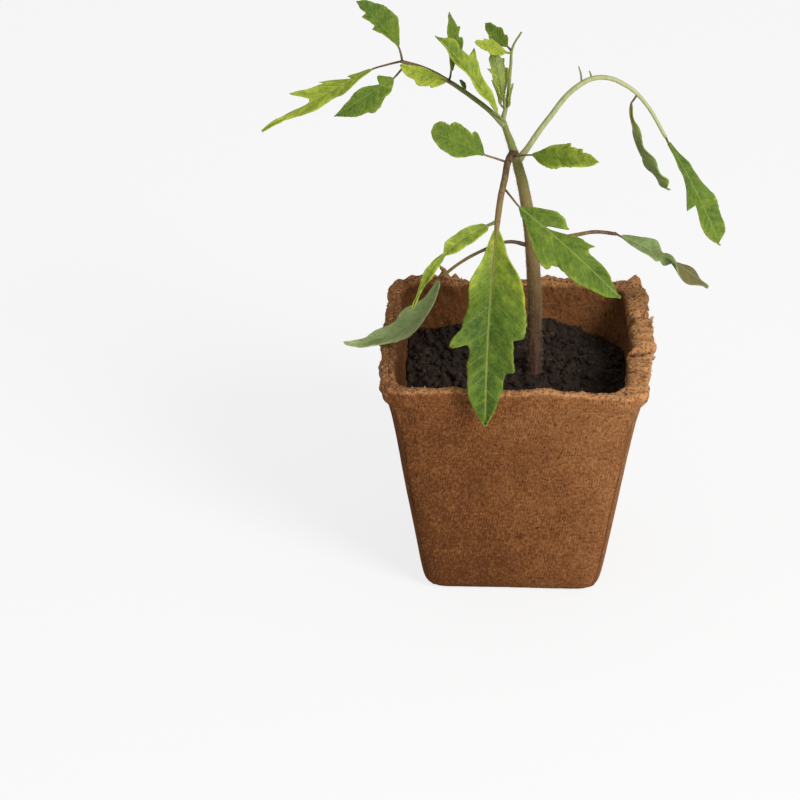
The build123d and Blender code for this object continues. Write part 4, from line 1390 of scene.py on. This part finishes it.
leaflets = []
for heading, pitch, length in BUD_LEAFLETS:
    neck = BUD_NECK_LENGTH, heading, BUD_NECK_PITCH
    spec = {**BUD_LEAFLET, "length": length, "neck": neck, "chord": (heading, pitch)}
    leaflets.append(grow_leaf("growing_tip", spec, (leaf_upper, leaf_under)))
tuft = joined("growing_tip_leaf", leaflets)
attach(tuft, "root")
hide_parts("growing_tip")


# Stage
# A plain pale floor under soft light from the front right, seen from the photograph's place.
FLOOR_SIZE = 12.0
FLOOR_WHITE = colour(0.93, 0.93, 0.93)
FLOOR_GLOW = 0.8
WORLD_LIGHT = 0.4
KEY_PLACE = Vector((1.05, -1.25, 1.05))
KEY_POWER = 30.0
KEY_SIZE = 0.7
CAMERA_AZIMUTH = 1.85
CAMERA_ELEVATION = 27.3
CAMERA_ROLL = 0.2
CAMERA_TARGET = Vector((-0.038, 0.0, 0.05575))
CAMERA_DISTANCE = 1.5
CAMERA_LENS = 203.7

bpy.ops.object.select_all(action="DESELECT")
bpy.ops.mesh.primitive_grid_add(x_subdivisions=4, y_subdivisions=4, size=FLOOR_SIZE)
floor = bpy.context.object
floor.name = "floor"
floor_finish, floor_sockets, floor_place = new_finish("floor_white", 0.9, 0.1)
floor_sockets["Base Color"].default_value = FLOOR_WHITE
floor_nodes = floor_finish.node_tree.nodes
seen = floor_place.node("LightPath", (), (), "Is Camera Ray")
seen += floor_place.node("LightPath", (), (), "Is Glossy Ray")
seen += floor_place.node("LightPath", (), (), "Is Transmission Ray")
glow = floor_place.node("Emission", (), {"Color": colour(1, 1, 1), "Strength": 1.0})
plain = Shade(floor_nodes["Principled BSDF"].outputs["BSDF"])
floor_shader = floor_place.node("MixShader", (), {0: seen * FLOOR_GLOW, 1: plain, 2: glow})
floor_shader.feed(floor_nodes["Material Output"].inputs["Surface"])
floor.data.materials.append(floor_finish)

world = bpy.data.worlds.new("studio")
bpy.context.scene.world = world
world.use_nodes = True
world.node_tree.nodes["Background"].inputs["Color"].default_value = colour(1, 1, 1)
world.node_tree.nodes["Background"].inputs["Strength"].default_value = WORLD_LIGHT

bpy.ops.object.light_add(type="AREA", location=KEY_PLACE)
key = bpy.context.object
key.name = "key_light"
key.data.energy = KEY_POWER
key.data.size = KEY_SIZE
key.rotation_euler = (CAMERA_TARGET - KEY_PLACE).to_track_quat("-Z", "Y").to_euler()

back = direction(CAMERA_AZIMUTH - 90, CAMERA_ELEVATION)
bpy.ops.object.camera_add(location=CAMERA_TARGET + back * CAMERA_DISTANCE)
camera = bpy.context.object
camera.data.lens = CAMERA_LENS
camera.data.sensor_width = 36.0
camera.data.dof.use_dof = False
facing = (-back).to_track_quat("-Z", "Y") @ Euler((0, 0, radians(CAMERA_ROLL))).to_quaternion()
camera.rotation_euler = facing.to_euler()
bpy.context.scene.camera = camera
bpy.context.scene.view_settings.view_transform = "Standard"
